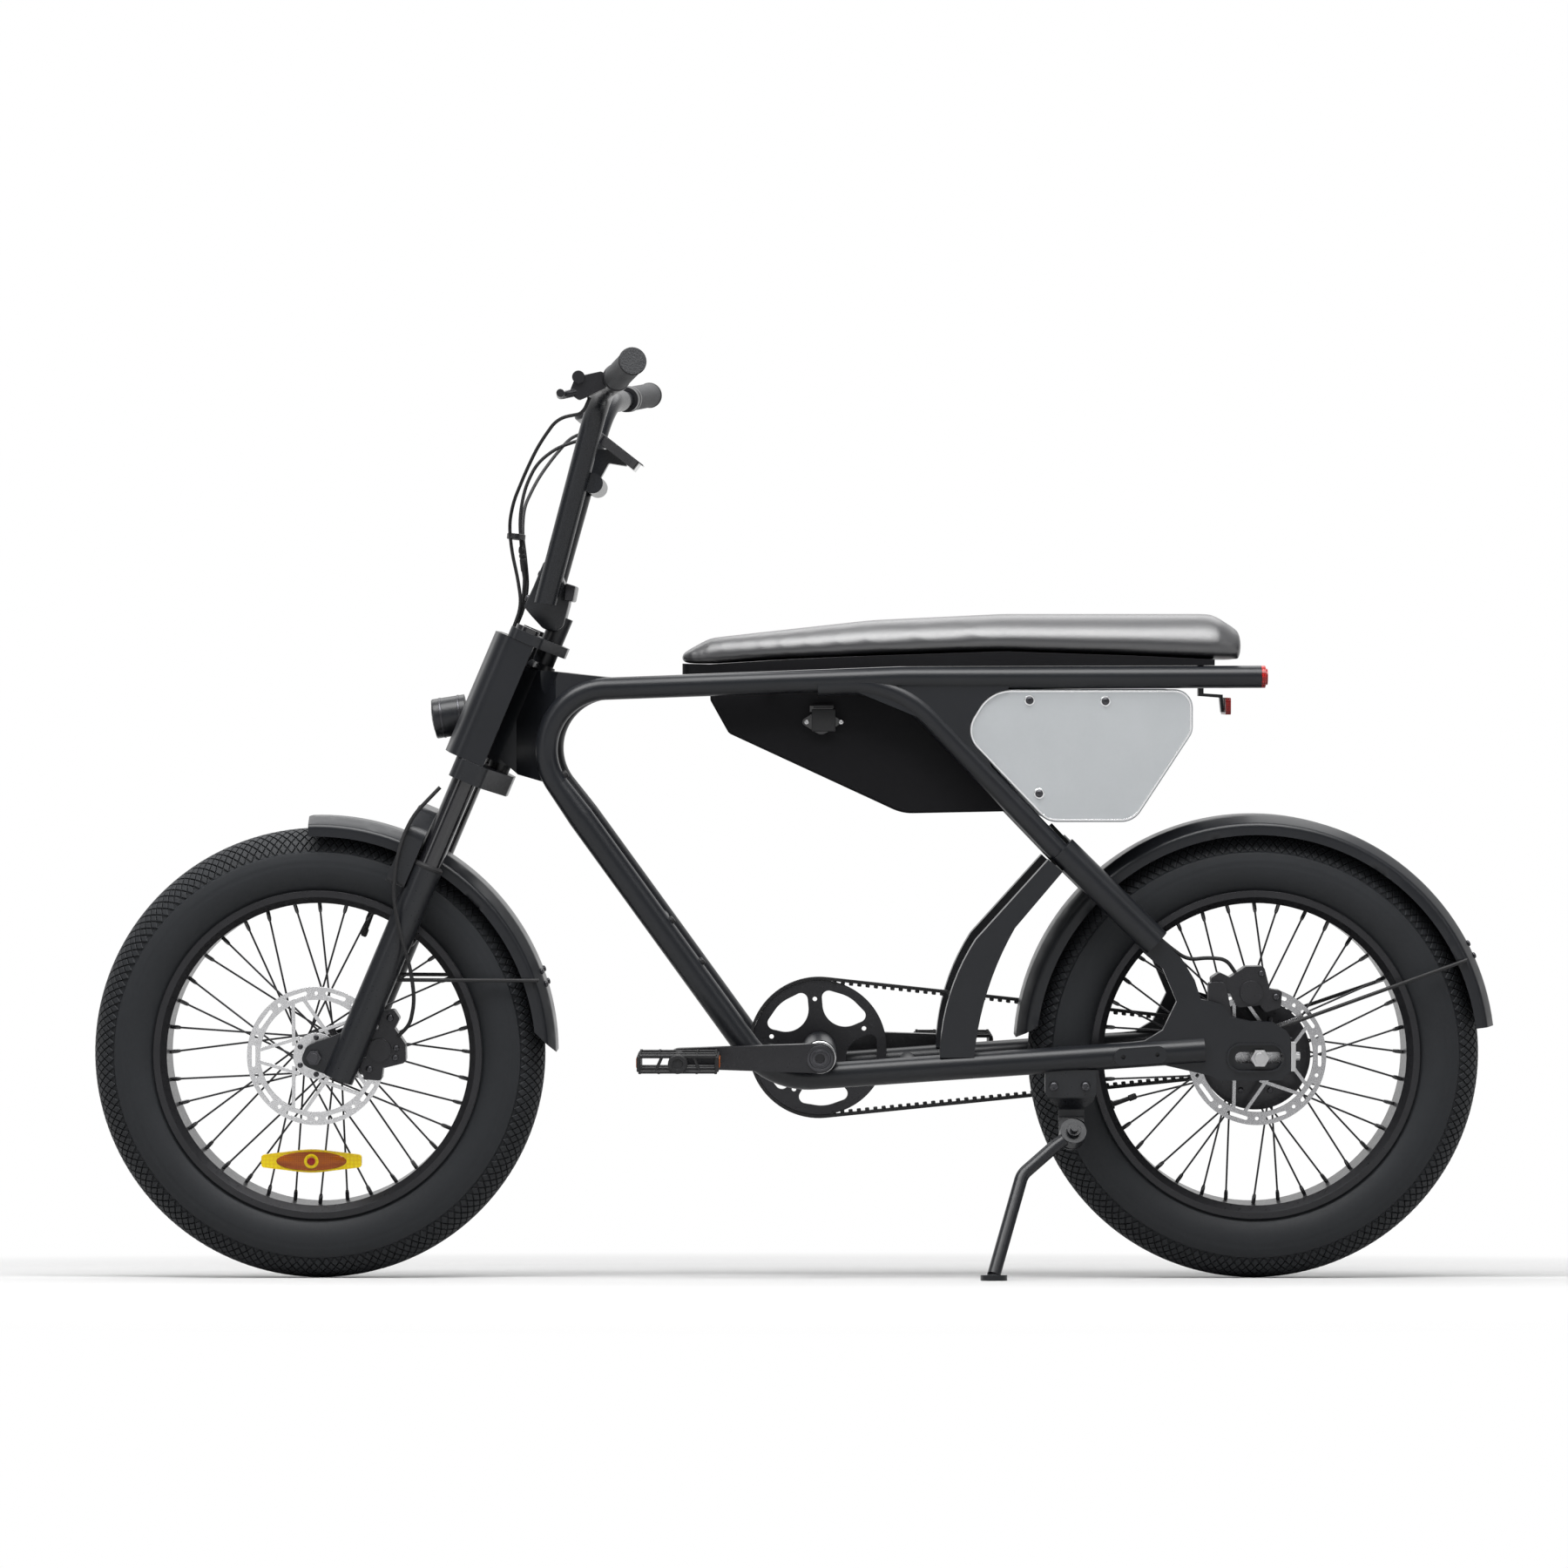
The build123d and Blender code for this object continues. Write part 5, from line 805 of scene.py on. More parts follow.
print("bolt", len(bolt.data.polygons), "faces")

# %% Bolts on the frame and the wheels
PANEL_BOLTS = both_sides(((-313.4, 92, 757, 5.2), (-411.2, 92, 755.9, 5.2),
                          (-325.8, 92, 636.8, 5.2)))
set_bolts("panel_bolts", PANEL_BOLTS, "frame")
WASHER_STEPS = ((6.8, -0.3), (6.8, 0.3), (6.3, 0.7), (5, 0.7))
fittings("panel_washers", WASHER_STEPS, 32,
         [turn_to(place, direction) for place, direction, _ in PANEL_BOLTS], "polished_edge",
         "frame")
set_bolts("stand_bolts", [((x, 99.5, 259), LEFT, 6) for x in (-345, -386)], "frame")
MOTOR_CIRCLE, MOTOR_FACE = 50, 36
set_bolts("motor_bolts",
          [(round_axle("rear", MOTOR_CIRCLE, 22.5 + 45 * number, side * MOTOR_FACE),
            (0, side, 0), 4) for number in range(8) for _, side in SIDES], "rear_wheel")
ROTOR_CIRCLE, ROTOR_FACE = 24, 57
for wheel in AXLES:
    set_bolts(f"{wheel}_rotor_bolts",
              [(round_axle(wheel, ROTOR_CIRCLE, 30 + 60 * number, ROTOR_FACE), LEFT, 3.6)
               for number in range(6)], f"{wheel}_wheel")
STAY_Y = 30
# (body, wheel, outer radius of its fender, turns of the two bolts in degrees)
STAY_BOLTS = (("frame", "rear", 313, (152.4, 155.6)),
              ("steering", "front", 311, (159.6, 162.8)))
for body, wheel, fender_radius, turns in STAY_BOLTS:
    set_bolts(f"{body}_stay_bolts",
              [(round_axle(wheel, fender_radius, turn, side * STAY_Y), way_out(turn), 4.2)
               for turn in turns for _, side in SIDES], body)
print("bolts placed")

# %% [markdown]
# ## The seat
# A motorcycle-style seat is a firm foam pad under one stretched leather skin. A copy of the CAD
# pad is remeshed in small even cells. Foam is cut crowned, so the higher a point lies on the
# pad, the more it is drawn in to the middle. The pad is then relaxed, so that its hard edges
# become the soft roll of foam, and subdivided. It replaces the CAD pad.

# %% Leather seat
# The size of the cells and of the slices, and the share by which the top is drawn in
SEAT_CELL, SLICE, CROWN = 5.5 * MM, 20 * MM, 0.30
seat = merged_copy(frame["nodes"]["seat_cushion"], "seat_leather_pad")
apply_step(seat, "REMESH", mode="VOXEL", voxel_size=SEAT_CELL)
unpark = PARK.inverted()
upright = [unpark @ vertex.co for vertex in seat.data.vertices]
# The lowest and highest point of the pad in each slice of its length
slices = {}
for point in upright:
    low, high = slices.get(round(point.x / SLICE), (9, 0))
    slices[round(point.x / SLICE)] = (min(low, point.z), max(high, point.z))
for vertex, point in zip(seat.data.vertices, upright):
    low, high = slices[round(point.x / SLICE)]
    share = (point.z - low) / (high - low)
    point.y *= 1 - CROWN * share * share
    vertex.co = PARK @ point
apply_step(seat, "SMOOTH", factor=0.5, iterations=18)
apply_step(seat, "SUBSURF", levels=1, render_levels=1)
wear(seat, "seat_leather")
bpy.ops.object.shade_smooth()
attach(seat, "frame")
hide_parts("seat_cushion")
print("seat", len(seat.data.polygons), "faces")

# %% [markdown]
# ## Lamps and reflectors
# The headlight has a bezel, a mirrored bowl, a clear domed lens and two bands round its body.
# The rear lights are short red lenses on the ends of the two rails. A reflector on the front
# spokes carries an oval prismatic window with a round pin in its middle.

# %% Clear lens material
finishes["clear_lens"], tree, shader = new_material("clear_lens")
haze = from_place(tree, "ShaderNodeTexNoise", Scale=60)
gloss = remap(tree, haze.outputs["Fac"], To_Min=0.02, To_Max=0.06)
tree.links.new(gloss, shader.inputs["Roughness"])
set_inputs(shader, Base_Color=(0.95, 0.97, 1, 1), Transmission_Weight=1, IOR=1.46)
print("material clear_lens")

# %% Headlight
LAMP_FACE = Vector((457.7, 0, 732.5))
LAMP_AHEAD = way_out(-9)
BEZEL_STEPS = ((25, -1), (26, -0.5), (26, 2.2), (25, 3.4), (22.8, 3.4), (22.2, 1.2))
BOWL_STEPS = ((22.6, 0.5), (22.6, 1.3), (20.5, 1.2), (13, 0.4), (6, 0.25), (5, 1.6), (2, 2.2))
LENS_STEPS = ((22.2, 1.8), (22.2, 2.8), (20, 4), (15, 5.3), (8, 6.2), (2, 6.5))
BAND_STEPS = ((26, 0), (26.6, 0.4), (26.6, 2.6), (26, 3))
# (name, steps, distance ahead of the lamp's face, finish)
LAMP_PIECES = (
    ("lamp_bezel", BEZEL_STEPS, 0, "fork_coat"),
    ("lamp_bowl", BOWL_STEPS, 0, "lamp_reflector"),
    ("lamp_glass", LENS_STEPS, 0, "clear_lens"),
    ("lamp_band_1", BAND_STEPS, -9, "dark_steel"),
    ("lamp_band_2", BAND_STEPS, -33, "dark_steel"),
)
for name, steps, ahead, finish in LAMP_PIECES:
    fitting(name, steps, 48, turn_to(LAMP_FACE + LAMP_AHEAD * ahead, LAMP_AHEAD), finish,
            "steering", 40)
print("headlight pieces", [row[0] for row in LAMP_PIECES])

# %% Rear lenses and the wheel reflector
TAIL_STEPS = ((13.6, 0), (13.6, 1.6), (12.6, 2.4), (8, 3.4), (2, 3.9))
RAIL_END, RAIL_BACK = (-615.5, 86, 787.5), (-1, 0, -0.004)
for side_name, side in SIDES:
    place = (RAIL_END[0], side * RAIL_END[1], RAIL_END[2])
    fitting(f"tail_lens_{side_name}", TAIL_STEPS, 32, turn_to(place, RAIL_BACK), "red_lens",
            "frame")
REFLECTOR = (AXLES["front"] + 9.5, 27.5, AXLE_UP - 140)
ROUND, OVAL = (1, 1, 1), (1, 0.27, 1)
# (name, steps, sides, scale, finish)
REFLECTOR_PIECES = (
    ("reflector_window", ((46, -0.3), (46, 0.6), (44, 1.4), (20, 2), (4, 2.1)), 40, OVAL,
     "orange_lens"),
    ("reflector_ring", ((9.5, 0), (9.5, 2.6), (8.6, 3.2), (6.6, 3.2), (6.2, 2.4)), 32, ROUND,
     "yellow_lens"),
    ("reflector_pin", ((5.2, 1.8), (5.2, 3), (4, 3.8), (1.5, 4)), 24, ROUND, "red_lens"),
)
for name, steps, sides, scale, finish in REFLECTOR_PIECES:
    fitting(name, steps, sides, turn_to(REFLECTOR, LEFT, 0, scale), finish, "front_wheel")
print("rear lenses and reflector placed")

# %% [markdown]
# ## Drive
# The belt is toothed inside, so a rounded tooth is repeated along its two straight runs. The
# crank has a stepped boss round its spindle, hollow in the middle for a key, and a bright
# collar shows on the bottom bracket behind it.

# %% Belt teeth
BRACKET_X, BRACKET_UP = -43, 297
BELT_Y = -60.5
BELT_DEPTH = 4
# (middle, outer radius) of the belt's two turns
BELT_ENDS = (((BRACKET_X, BRACKET_UP), 93.5), ((AXLES["rear"], AXLE_UP), 34))
TOOTH = (5.6, 10.4, 4)
TOOTH_ROUND, TOOTH_RISE = 1.1, 1.6
TOOTH_PITCH = 11
span = Vector(BELT_ENDS[0][0]) - Vector(BELT_ENDS[1][0])
rise = atan2(span.y, span.x)
spread_turn = asin((BELT_ENDS[0][1] - BELT_ENDS[1][1]) / span.length)
tooth = block("tooth", TOOTH, TOOTH_ROUND, rise=TOOTH_RISE)
tooth_places = []
for run in (1, -1):
    turn = rise + run * (pi / 2 + spread_turn)
    ends = [Vector((x + (radius - BELT_DEPTH) * cos(turn), BELT_Y,
                    z + (radius - BELT_DEPTH) * sin(turn))) for (x, z), radius in BELT_ENDS]
    length = (ends[1] - ends[0]).length
    for number in range(1, int(length // TOOTH_PITCH)):
        place = ends[0].lerp(ends[1], number * TOOTH_PITCH / length)
        tooth_places.append(turn_to(place, (-cos(turn), 0, -sin(turn)), 90))
spread(tooth, "belt_teeth", tooth_places, "rubber_black", "frame")
drop(tooth)
print("belt teeth", len(tooth_places))

# %% Crank bosses and the bottom bracket collar
CRANK_FACE = 124
COLLAR_FOOT = 102.2
BOSS_STEPS = ((17, -0.5), (17, 1.6), (15.8, 2.2), (13.8, 2.2), (13.2, 1), (10.6, 1),
              (10.4, 2.6), (9.6, 3), (6.4, 3), (6.2, -2))
COLLAR_STEPS = ((21, 0), (21, 3.4), (20, 4.2), (15, 4.2))
for side_name, side in SIDES:
    fitting(f"crank_boss_{side_name}", BOSS_STEPS, 36,
            turn_to((BRACKET_X, side * CRANK_FACE, BRACKET_UP), (0, side, 0)), "dark_steel",
            "crank")
fitting("bracket_collar", COLLAR_STEPS, 40, turn_to((BRACKET_X, COLLAR_FOOT, BRACKET_UP)), "zinc",
        "frame")
print("bosses and collar placed")

# %% [markdown]
# ## Pedals
# The real pedal is an open cage: a barrel that turns on the axle, two bars across it and thin
# rails between them, with short pins that hold the shoe and an amber reflector in each bar.
# The bars are boxes shaped in edit mode, the barrel and pins are turned, and together they
# replace the plain CAD pedal.

# %% Pedal cage
PEDAL_REACH = 181
PEDAL_Y = 173
AMBER_X = 52


def bar(size, place=(0, 0, 0), turn=0):
    """A bar of the cage at a place, in mm, tilted about a line across the bike."""
    piece = block("bar", size, 1, 1)
    piece.matrix_world = Matrix.Translation(Vector(place) * MM) @ Matrix.Rotation(
        radians(turn), 4, "Y")
    apply_place()
    return piece


cage = [bar((5, 84, 20), (end * 49.5, 0, 0)) for end in (-1, 1)]
cage += [bar((98, 4, 4), (0, across * 40, up * 10)) for across in (1, -1) for up in (1, -1)]
cage += [bar((4, 5, 22), (end * 24, 39, 0), end * -24) for end in (-1, 1)]
cage += [bar((98, 5, 5), (0, across * 16, up * 8)) for up in (1, -1) for across in (1, -1)]
BARREL_STEPS = ((9, -44), (10.5, -43), (10.5, -30), (8.5, -28), (8.5, 28),
                (12.5, 32), (12.5, 42), (11, 43.5), (7, 43.5), (6.5, 42), (2, 42))
barrel = turned("barrel", BARREL_STEPS)
barrel.matrix_world = Matrix.Rotation(radians(-90), 4, "X")
only(barrel)
apply_place()
pin = turned("pin", ((2, 0), (2, 2), (1.3, 2.8)), 8)
for x in (-48, -24, 24, 48):
    for y in (-38, -16, 16, 38):
        for face, flip in ((-10, pi), (10, 0)):
            cage.append(copy_of(pin, "cage_pin"))
            cage[-1].matrix_world = Matrix.Translation(
                Vector((x, y, face)) * MM) @ Matrix.Rotation(flip, 4, "X")
drop(pin)
pedal_pattern = join([barrel] + cage, "pedal_pattern")
apply_place()
amber_bar = bar((2.6, 46, 13))
for side_name, side in SIDES:
    stand = PARK @ Matrix.Translation(
        Vector((BRACKET_X + side * PEDAL_REACH, side * PEDAL_Y, BRACKET_UP)) * MM)
    outward = stand @ Matrix.Rotation(0 if side > 0 else pi, 4, "Z")
    cage_piece = spread(pedal_pattern, f"pedal_cage_{side_name}", [outward], "moulded_black",
                        f"{side_name}_pedal")
    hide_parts(f"{side_name}_pedal")
    ends = [stand @ Matrix.Translation((end * AMBER_X * MM, 0, 0)) for end in (-1, 1)]
    spread(amber_bar, f"pedal_reflectors_{side_name}", ends, "orange_lens",
           f"{side_name}_pedal")
drop(amber_bar)
drop(pedal_pattern)
print("pedals dressed")

# %% [markdown]
# ## Grip fittings
# Each grip is held by a clamp ring at its inner end and closed by a disc at its outer end. Both
# are turned, and they stand along the line from the bar's bend to its end.

# %% Grip rings and end caps
BAR_KNEE = (240, 100, 1150)
BAR_END = (189.5, 368, 1176)
GRIP_LENGTH = 128
RING_LENGTH = 9
CAP_INSET = 1.2
RING_STEPS = ((14, -1), (17.2, 0), (17.6, 1), (17.6, 8), (17, 9), (14, 9.5))
CAP_STEPS = ((16, -2), (17.4, -1), (17.6, 0.6), (16.8, 1.8), (14.6, 2.2), (13.8, 1.4),
             (8, 1.4), (2, 1.6))
for side_name, side in SIDES:
    knee, end = (Vector((x, side * y, z)) for x, y, z in (BAR_KNEE, BAR_END))
    outward = (end - knee).normalized()
    inner = end - outward * (GRIP_LENGTH + RING_LENGTH)
    fitting(f"grip_ring_{side_name}", RING_STEPS, 32, turn_to(inner, outward),
            "anodised_black", "steering")
    fitting(f"grip_cap_{side_name}", CAP_STEPS, 32, turn_to(end - outward * CAP_INSET, outward),
            "moulded_black", "steering")
print("grip ends placed")

# %% [markdown]
# ## Stem, display and cables
# The two uprights are clamped on the outside of a block, so that their square-cut feet show in
# front of it. The block is cut to its side outline as a plate as wide as the gap between the
# uprights, with four bolts in its front face. It replaces the wider CAD block. The display has
# a dark glass face. The loose cables are held by a band, and one of them has an inline
# connector with a ribbed shell.

# %% Stem block
BLOCK_HALF, CLAMP_HALF = 34.5, 50
STEM_BODY = ((316, 937), (329.5, 904.6), (342, 878.4), (331.7, 866), (317, 849.9),
             (300, 845.4), (290.7, 853), (282.7, 884), (288.4, 907), (300, 937))
REAR_CLAMP = ((287, 909), (273.6, 905), (277.5, 885), (289, 886))
stem_block = plate("stem_block", STEM_BODY, -BLOCK_HALF, BLOCK_HALF, 2.5)
set_in(stem_block, PARK, "fork_coat", "steering")
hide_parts("stem")
rear_clamp = plate("stem_rear_clamp", REAR_CLAMP, -CLAMP_HALF, CLAMP_HALF, 2)
set_in(rear_clamp, PARK, "anodised_black", "steering")
FACE_WAY = (0.9, 0, 0.42)
# (x, z) of the two rows of bolts in the block's front face, and how far they stand to a side
FACE_ROWS = ((337.64, 890), (321, 922))
FACE_Y = 20
set_bolts("stem_bolts", [((x, side * FACE_Y, z), FACE_WAY, 4.4)
                         for x, z in FACE_ROWS for _, side in SIDES], "steering")
print("stem placed")

# %% Display face
DISPLAY_CENTRE = Vector((220, 0, 1080))
DISPLAY_WAY = way_out(90 + 38)
GLASS = (74, 50, 1.6)
GLASS_ROUND, GLASS_RISE = 0.7, 6.4
set_in(block("display_glass", GLASS, GLASS_ROUND),
       turn_to(DISPLAY_CENTRE + DISPLAY_WAY * GLASS_RISE, DISPLAY_WAY, 90), "gloss_black",
       "steering")
print("display glass placed")

# %% Cable band and connector
CABLE_BAND_STEPS = ((9, 0), (10, 0.6), (10, 7), (9, 7.6))
CABLE_BAND_PLACE, CABLE_BAND_WAY = (353, 3, 974), (0.1, 0, -1)
CABLE_BAND_SCALE = (3.2, 1.2, 1)
fitting("cable_band", CABLE_BAND_STEPS, 24,
        turn_to(CABLE_BAND_PLACE, CABLE_BAND_WAY, 0, CABLE_BAND_SCALE), "moulded_black",
        "steering")
CONNECTOR_STEPS = ((3, 0), (4.2, 2), (5.4, 6), (5.6, 10), (4.8, 11), (4.8, 13),
                   (5.6, 14), (5.6, 18), (4.8, 19), (4.8, 21), (5.6, 22),
                   (5.6, 40), (4.6, 42), (4.4, 52), (3, 58))
CONNECTOR_TOP, CONNECTOR_WAY = (347, 1, 958), (-5, -1, -40)
fitting("cable_connector", CONNECTOR_STEPS, 20,
        turn_to(CONNECTOR_TOP, CONNECTOR_WAY, 0, (0.8, 0.8, 0.8)), "moulded_black", "steering")
print("cable fittings placed")

# %% [markdown]
# ## Charge port and small fittings
# The port's flap has a hinge above and is screwed to its flange. The calipers are bolted on,
# the stanchions end in caps above and in rubber seals where they enter the lower legs, and the
# downtube carries three small cable guides.

# %% Charge port
FLAP_PLACE, FLAP_ROUND = (-48, 67.5, 731), 1.6
set_in(block("port_flap", (31, 29, 4), FLAP_ROUND, 3), turn_to(FLAP_PLACE), "moulded_black",
       "frame")
HINGE_PLACE = (-48, 68, 749.5)
HINGE_RADIUS, HINGE_LENGTH, HINGE_ROUND = 3 * MM, 26 * MM, 0.5 * MM
alone()
bpy.ops.mesh.primitive_cylinder_add(vertices=16, radius=HINGE_RADIUS, depth=HINGE_LENGTH)
hinge = bpy.context.object
hinge.name = "port_hinge"
edit()
bpy.ops.mesh.bevel(offset=HINGE_ROUND, segments=1)
bpy.ops.object.mode_set(mode="OBJECT")
set_in(hinge, turn_to(HINGE_PLACE, (1, 0, 0)), "moulded_black", "frame")
set_bolts("port_screws", [((x, 66.5, 728.8), LEFT, 3.4) for x in (-25.9, -70.6)], "frame",
          "zinc")
print("charge port dressed")

# %% Caliper, fork and guide fittings
CALIPER_FACE = 70.5
# (x, z, radius) of each caliper's bolts
FRONT_CALIPER = ((506, 306.1, 4), (507.2, 293.7, 4), (513.9, 345.5, 4.6), (541, 279, 4.6))
REAR_CALIPER = ((-615.3, 403, 4), (-634.5, 372.6, 4.6))
for name, rows, body in (("front_caliper_bolts", FRONT_CALIPER, "steering"),
                         ("rear_caliper_bolts", REAR_CALIPER, "frame")):
    set_bolts(name, [((x, CALIPER_FACE, z), LEFT, radius) for x, z, radius in rows], body)

# The fork's legs stand ahead of the steering axis and along it
STEER_FOOT = Vector((546.565, 0, 267.649))
STEER_UP = way_out(90 + 23)
STEER_AHEAD = way_out(23)
LEG_AHEAD, LEG_Y = 31, 80
STANCHION_CAP_STEPS = ((13, 0), (13, 1.4), (11.6, 2.4), (8.4, 2.4), (8, 1.2), (2, 1.2))
SEAL_STEPS = ((19, 0), (20.4, 1), (20.4, 4), (18.4, 6), (16.4, 7))
# (name, steps, sides, distance up the leg, finish)
LEG_PIECES = (("stanchion_caps", STANCHION_CAP_STEPS, 32, 614, "dark_steel"),
              ("fork_seals", SEAL_STEPS, 36, 281.5, "rubber_black"))
for name, steps, sides, up, finish in LEG_PIECES:
    middle = STEER_FOOT + STEER_AHEAD * LEG_AHEAD + STEER_UP * up
    places = [turn_to(middle + Vector((0, side * LEG_Y, 0)), STEER_UP) for _, side in SIDES]
    fittings(name, steps, sides, places, finish, "steering")

DOWNTUBE_FOOT = Vector((20.3, 86, 266.7))
DOWNTUBE_WAY = Vector((0.586, 0, 0.810))
DOWNTUBE_REAR = Vector((-0.810, 0, 0.586))
# (distance up the tube, distance from its middle), in mm
GUIDES = ((476, 15.6), (242.4, 16.6), (176.4, 16.6))
fittings("cable_guides", ((5, -2), (5, 3), (4.2, 4), (2, 4.2)), 16,
         [turn_to(DOWNTUBE_FOOT + DOWNTUBE_WAY * up + DOWNTUBE_REAR * out, DOWNTUBE_REAR)
          for up, out in GUIDES], "moulded_black", "frame")
drop(bolt)
print("small fittings placed")

# %% [markdown]
# ## Fender ends
# The fenders end in a slanted cut, so that their outer edge runs on as a point. A copy of each
# CAD fender is merged, bisected along that slanted line and closed, and it replaces the node.

# %% Slanted ends
END_REACH = 0.15
# (node, body, point of the outer edge, point of the skirt edge), points as (x, z) in mm
FENDER_CUTS = (
    ("front_fender", "steering", (299, 297), (328.6, 326.3)),
    ("rear_fender", "frame", (-296, 316), (-330, 334.2)),
)
for node_name, body, tip, skirt in FENDER_CUTS:
    fender = merged_copy(frame["nodes"][node_name], f"{node_name}_cut")
    along = Vector((skirt[0] - tip[0], 0, skirt[1] - tip[1])).normalized()
    way = Vector((-along.z, 0, along.x))
    if way.z < 0:
        way = -way
    bpy.ops.object.mode_set(mode="EDIT")
    bpy.ops.mesh.select_all(action="DESELECT")
    bpy.ops.mesh.select_mode(type="FACE")
    tip_place = parked(tip[0] * MM, 0, tip[1] * MM)
    shape = bmesh.from_edit_mesh(fender.data)
    for face in shape.faces:
        face.select = (face.calc_center_median() - tip_place).length < END_REACH
    bmesh.update_edit_mesh(fender.data)
    bpy.ops.mesh.bisect(plane_co=tip_place, plane_no=PARK.to_3x3() @ way, use_fill=True,
                        clear_inner=True)
    bpy.ops.object.mode_set(mode="OBJECT")
    wear(fender, "frame_coat")
    smooth(fender, 40)
    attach(fender, body)
    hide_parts(node_name)
    print(fender.name, len(fender.data.polygons), "faces")

# %% [markdown]
# ## Bright edges of the side panels
# The silver panels are blasted in the middle and polished on their chamfered rim. The rim is
# the outline of the panel itself: the flat outer face of a copy is selected, inset and raised,
# and the border that the inset leaves becomes the polished band.

# %% Polished rims
RIM_BAND = 2.4 * MM
RIM_LIFT = 0.25 * MM
FACE_DEPTH = 0.3 * MM
FACE_MATCH = 0.99


def select_outer(piece, way, inside=True):
    """Select the flat faces on a piece's outer side, or all the others."""
    level = max(way.dot(vertex.co) for vertex in piece.data.vertices) - FACE_DEPTH
    bpy.ops.mesh.select_all(action="DESELECT")
    shape = bmesh.from_edit_mesh(piece.data)
    for face in shape.faces:
        outer = face.normal.dot(way) > FACE_MATCH and way.dot(face.calc_center_median()) > level
        face.select = outer == inside
    bmesh.update_edit_mesh(piece.data)


for side_name, side in SIDES:
    rim = merged_copy(frame["nodes"][f"side_panel_{side_name}"], f"panel_rim_{side_name}")
    face_way = PARK.to_3x3() @ Vector((0, side, 0))
    edit()
    bpy.ops.mesh.dissolve_limited(angle_limit=radians(1))
    select_outer(rim, face_way)
    bpy.ops.mesh.inset(thickness=RIM_BAND, depth=0)
    bpy.ops.mesh.delete(type="FACE")
    select_outer(rim, face_way, inside=False)
    bpy.ops.mesh.delete(type="FACE")
    bpy.ops.mesh.select_all(action="SELECT")
    bpy.ops.mesh.extrude_region_move(
        TRANSFORM_OT_translate={"value": tuple(face_way * RIM_LIFT)})
    close_edit()
    wear(rim, "polished_edge")
    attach(rim, "frame")
    print(rim.name, len(rim.data.polygons), "faces")

# %% [markdown]
# ## Studio
# A pale floor and background with soft light. The floor turns to plain white away from the
# bike, so that no horizon shows. The world is white to the camera and through glass, and so
# is its half behind the bike to glossy rays, so that the tubes get the bright edges that a
# white backdrop gives. What lights the bike is a gentler grey and four large soft lamps.

# %% Floor
PAPER_SEEN = 0.545
PAPER_BOUNCE = 0.30
FADE_START, FADE_END = 1.1, 2.2
alone()
bpy.ops.mesh.primitive_plane_add(size=60, location=(0, 0, -0.0002))
floor = bpy.context.object
floor.name = "floor"
finishes["floor_paper"], tree, paper = new_material("floor_paper")
set_inputs(paper, Roughness=0.9, Specular_IOR_Level=0.1)
rays = add_node(tree, "ShaderNodeLightPath")
distance = from_place(tree, "ShaderNodeVectorMath", operation="LENGTH")
fade = remap(tree, distance.outputs["Value"], From_Min=FADE_START, From_Max=FADE_END)
seen = combine(tree, "MAXIMUM", rays.outputs["Is Camera Ray"], rays.outputs["Is Glossy Ray"])
shade = remap(tree, seen, To_Min=PAPER_BOUNCE, To_Max=PAPER_SEEN)
tree.links.new(shade, paper.inputs["Base Color"])
white = add_node(tree, "ShaderNodeEmission", Strength=1)
blend = add_node(tree, "ShaderNodeMixShader",
                 links=[(combine(tree, "MULTIPLY", fade, seen), "Fac"),
                        (paper.outputs["BSDF"], 1), (white.outputs["Emission"], 2)])
tree.links.new(blend.outputs["Shader"], tree.nodes["Material Output"].inputs["Surface"])
wear(floor, "floor_paper")

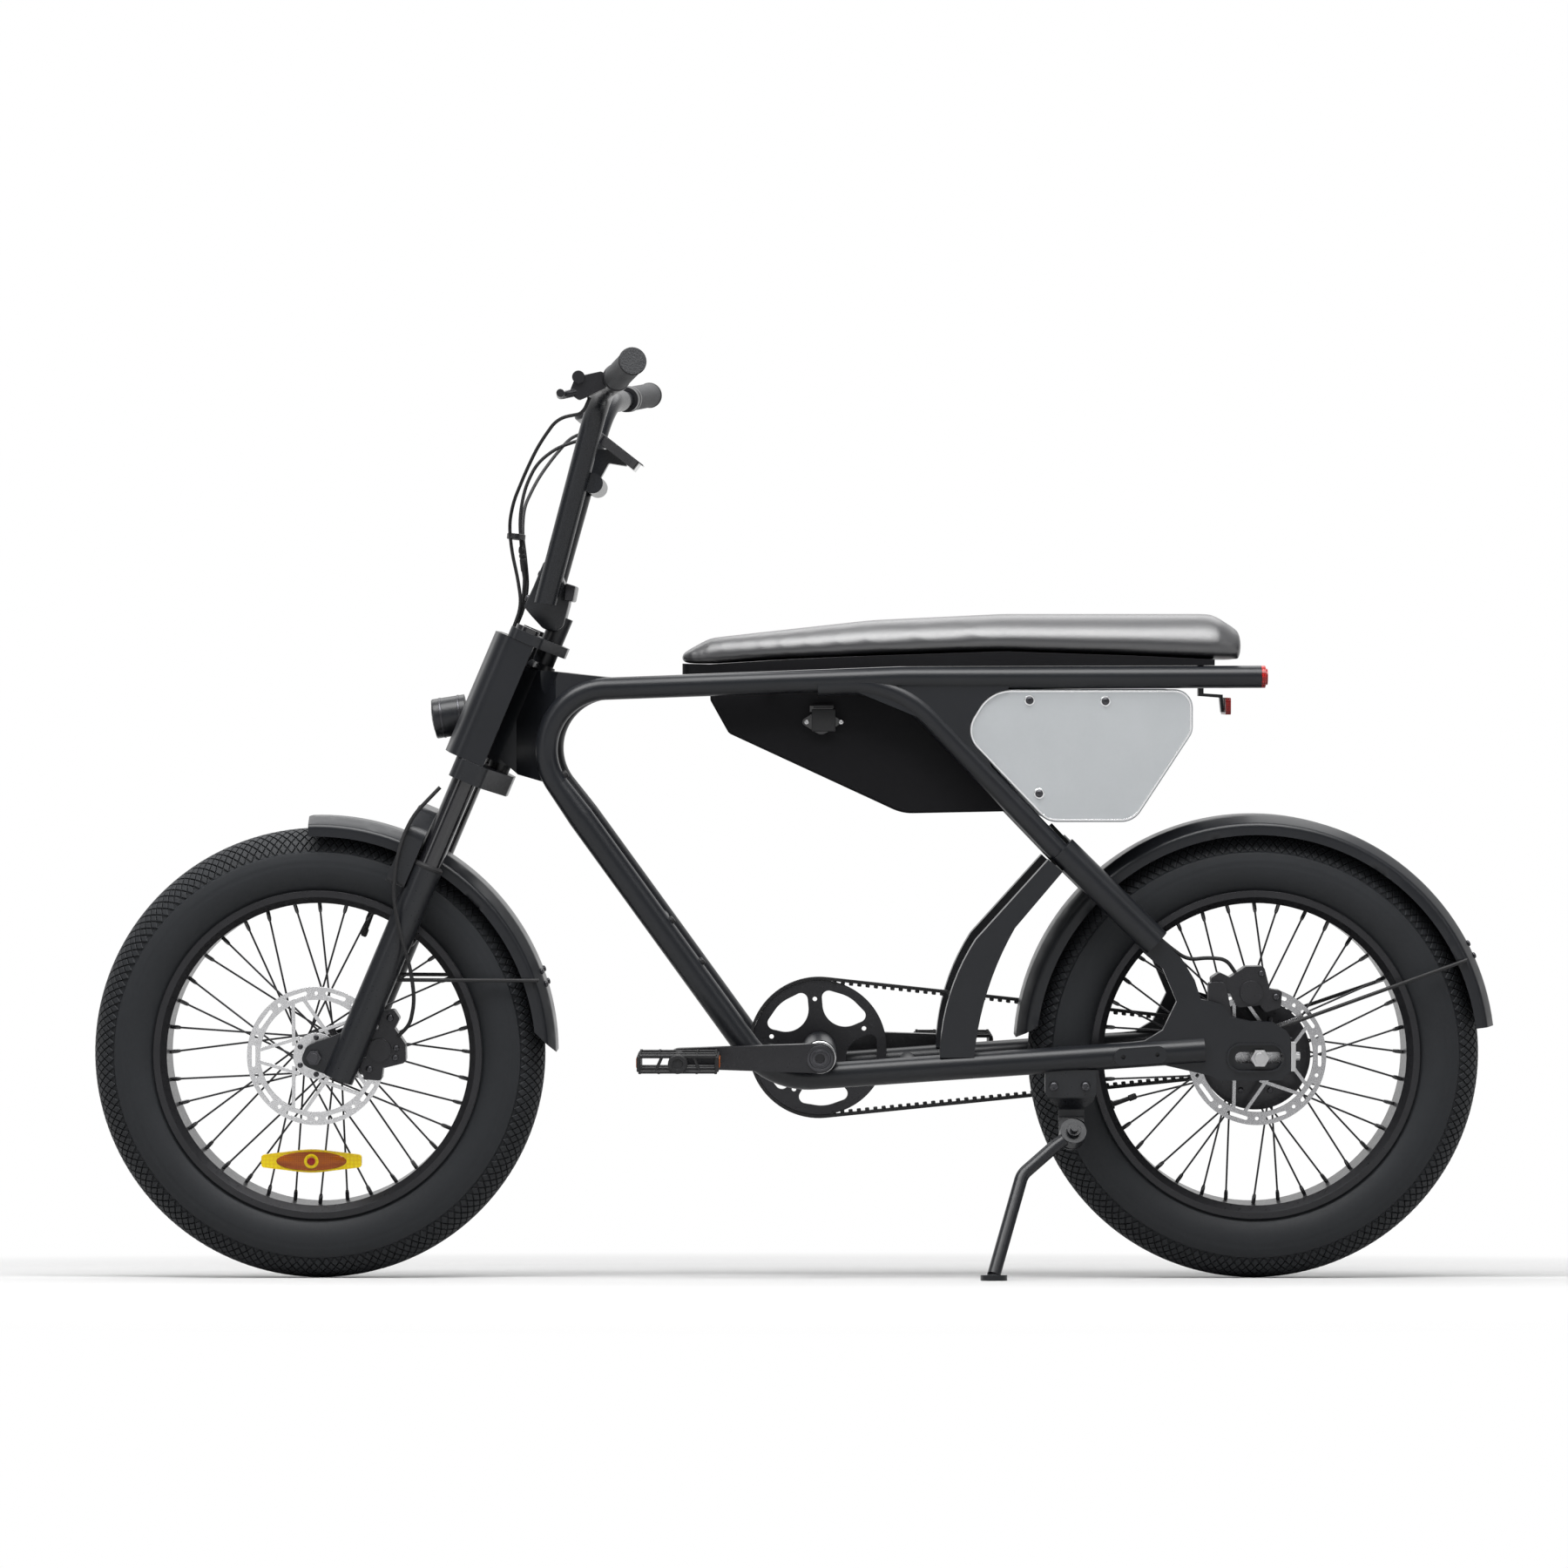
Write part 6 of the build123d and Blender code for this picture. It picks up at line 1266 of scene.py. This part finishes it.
# %% World and lamps
HORIZON_LIGHT = 0.06
CEILING_LIGHT = 0.62
world = bpy.data.worlds.new("studio")
bpy.context.scene.world = world
world.use_nodes = True
tree = world.node_tree
backdrop = tree.nodes["Background"]
backdrop.inputs["Color"].default_value = (1.0, 1.0, 1.0, 1.0)
rays = add_node(tree, "ShaderNodeLightPath")
straight = combine(tree, "MAXIMUM", rays.outputs["Is Camera Ray"],
                   rays.outputs["Is Transmission Ray"])
direction = add_node(tree, "ShaderNodeTexCoord")
way = add_node(tree, "ShaderNodeSeparateXYZ", links=[(direction.outputs["Generated"], "Vector")])
behind = remap(tree, way.outputs["Y"], interpolation_type="SMOOTHSTEP", From_Min=0.1,
               From_Max=-0.5)
mirrored = combine(tree, "MULTIPLY", rays.outputs["Is Glossy Ray"], behind)
ceiling = remap(tree, way.outputs["Z"], interpolation_type="SMOOTHSTEP", From_Min=0.05,
                From_Max=0.75, To_Min=HORIZON_LIGHT, To_Max=CEILING_LIGHT)
strength = add_node(tree, "ShaderNodeMapRange", To_Max=1.0,
                    links=[(combine(tree, "MAXIMUM", straight, mirrored), "Value"),
                           (ceiling, "To Min")])
tree.links.new(strength.outputs["Result"], backdrop.inputs["Strength"])

# (name, place, aim, width, height, power)
LAMPS = (
    ("lamp_top", (0.2, 1.3, 2.9), (0.0, 0.0, 0.5), 3.8, 1.5, 160.0),
    ("lamp_top_far", (0.0, -1.3, 2.9), (0.0, 0.0, 0.5), 3.8, 1.3, 40.0),
    ("lamp_left_front", (2.9, 2.6, 1.7), (0.3, 0.0, 0.5), 0.9, 2.0, 11.0),
    ("lamp_left_rear", (-3.0, 2.4, 1.6), (-0.3, 0.0, 0.5), 0.9, 2.0, 8.0),
)
for name, lamp_place, aim, width, height, power in LAMPS:
    bpy.ops.object.light_add(type="AREA", location=lamp_place)
    lamp = bpy.context.object
    lamp.name = name
    lamp.data.shape = "RECTANGLE"
    lamp.data.size, lamp.data.size_y = width, height
    lamp.data.energy = power
    lamp.rotation_euler = (Vector(aim) - Vector(lamp_place)).to_track_quat("-Z", "Y").to_euler()
bpy.context.scene.view_settings.view_transform = "Standard"
print("lamps", [row[0] for row in LAMPS])
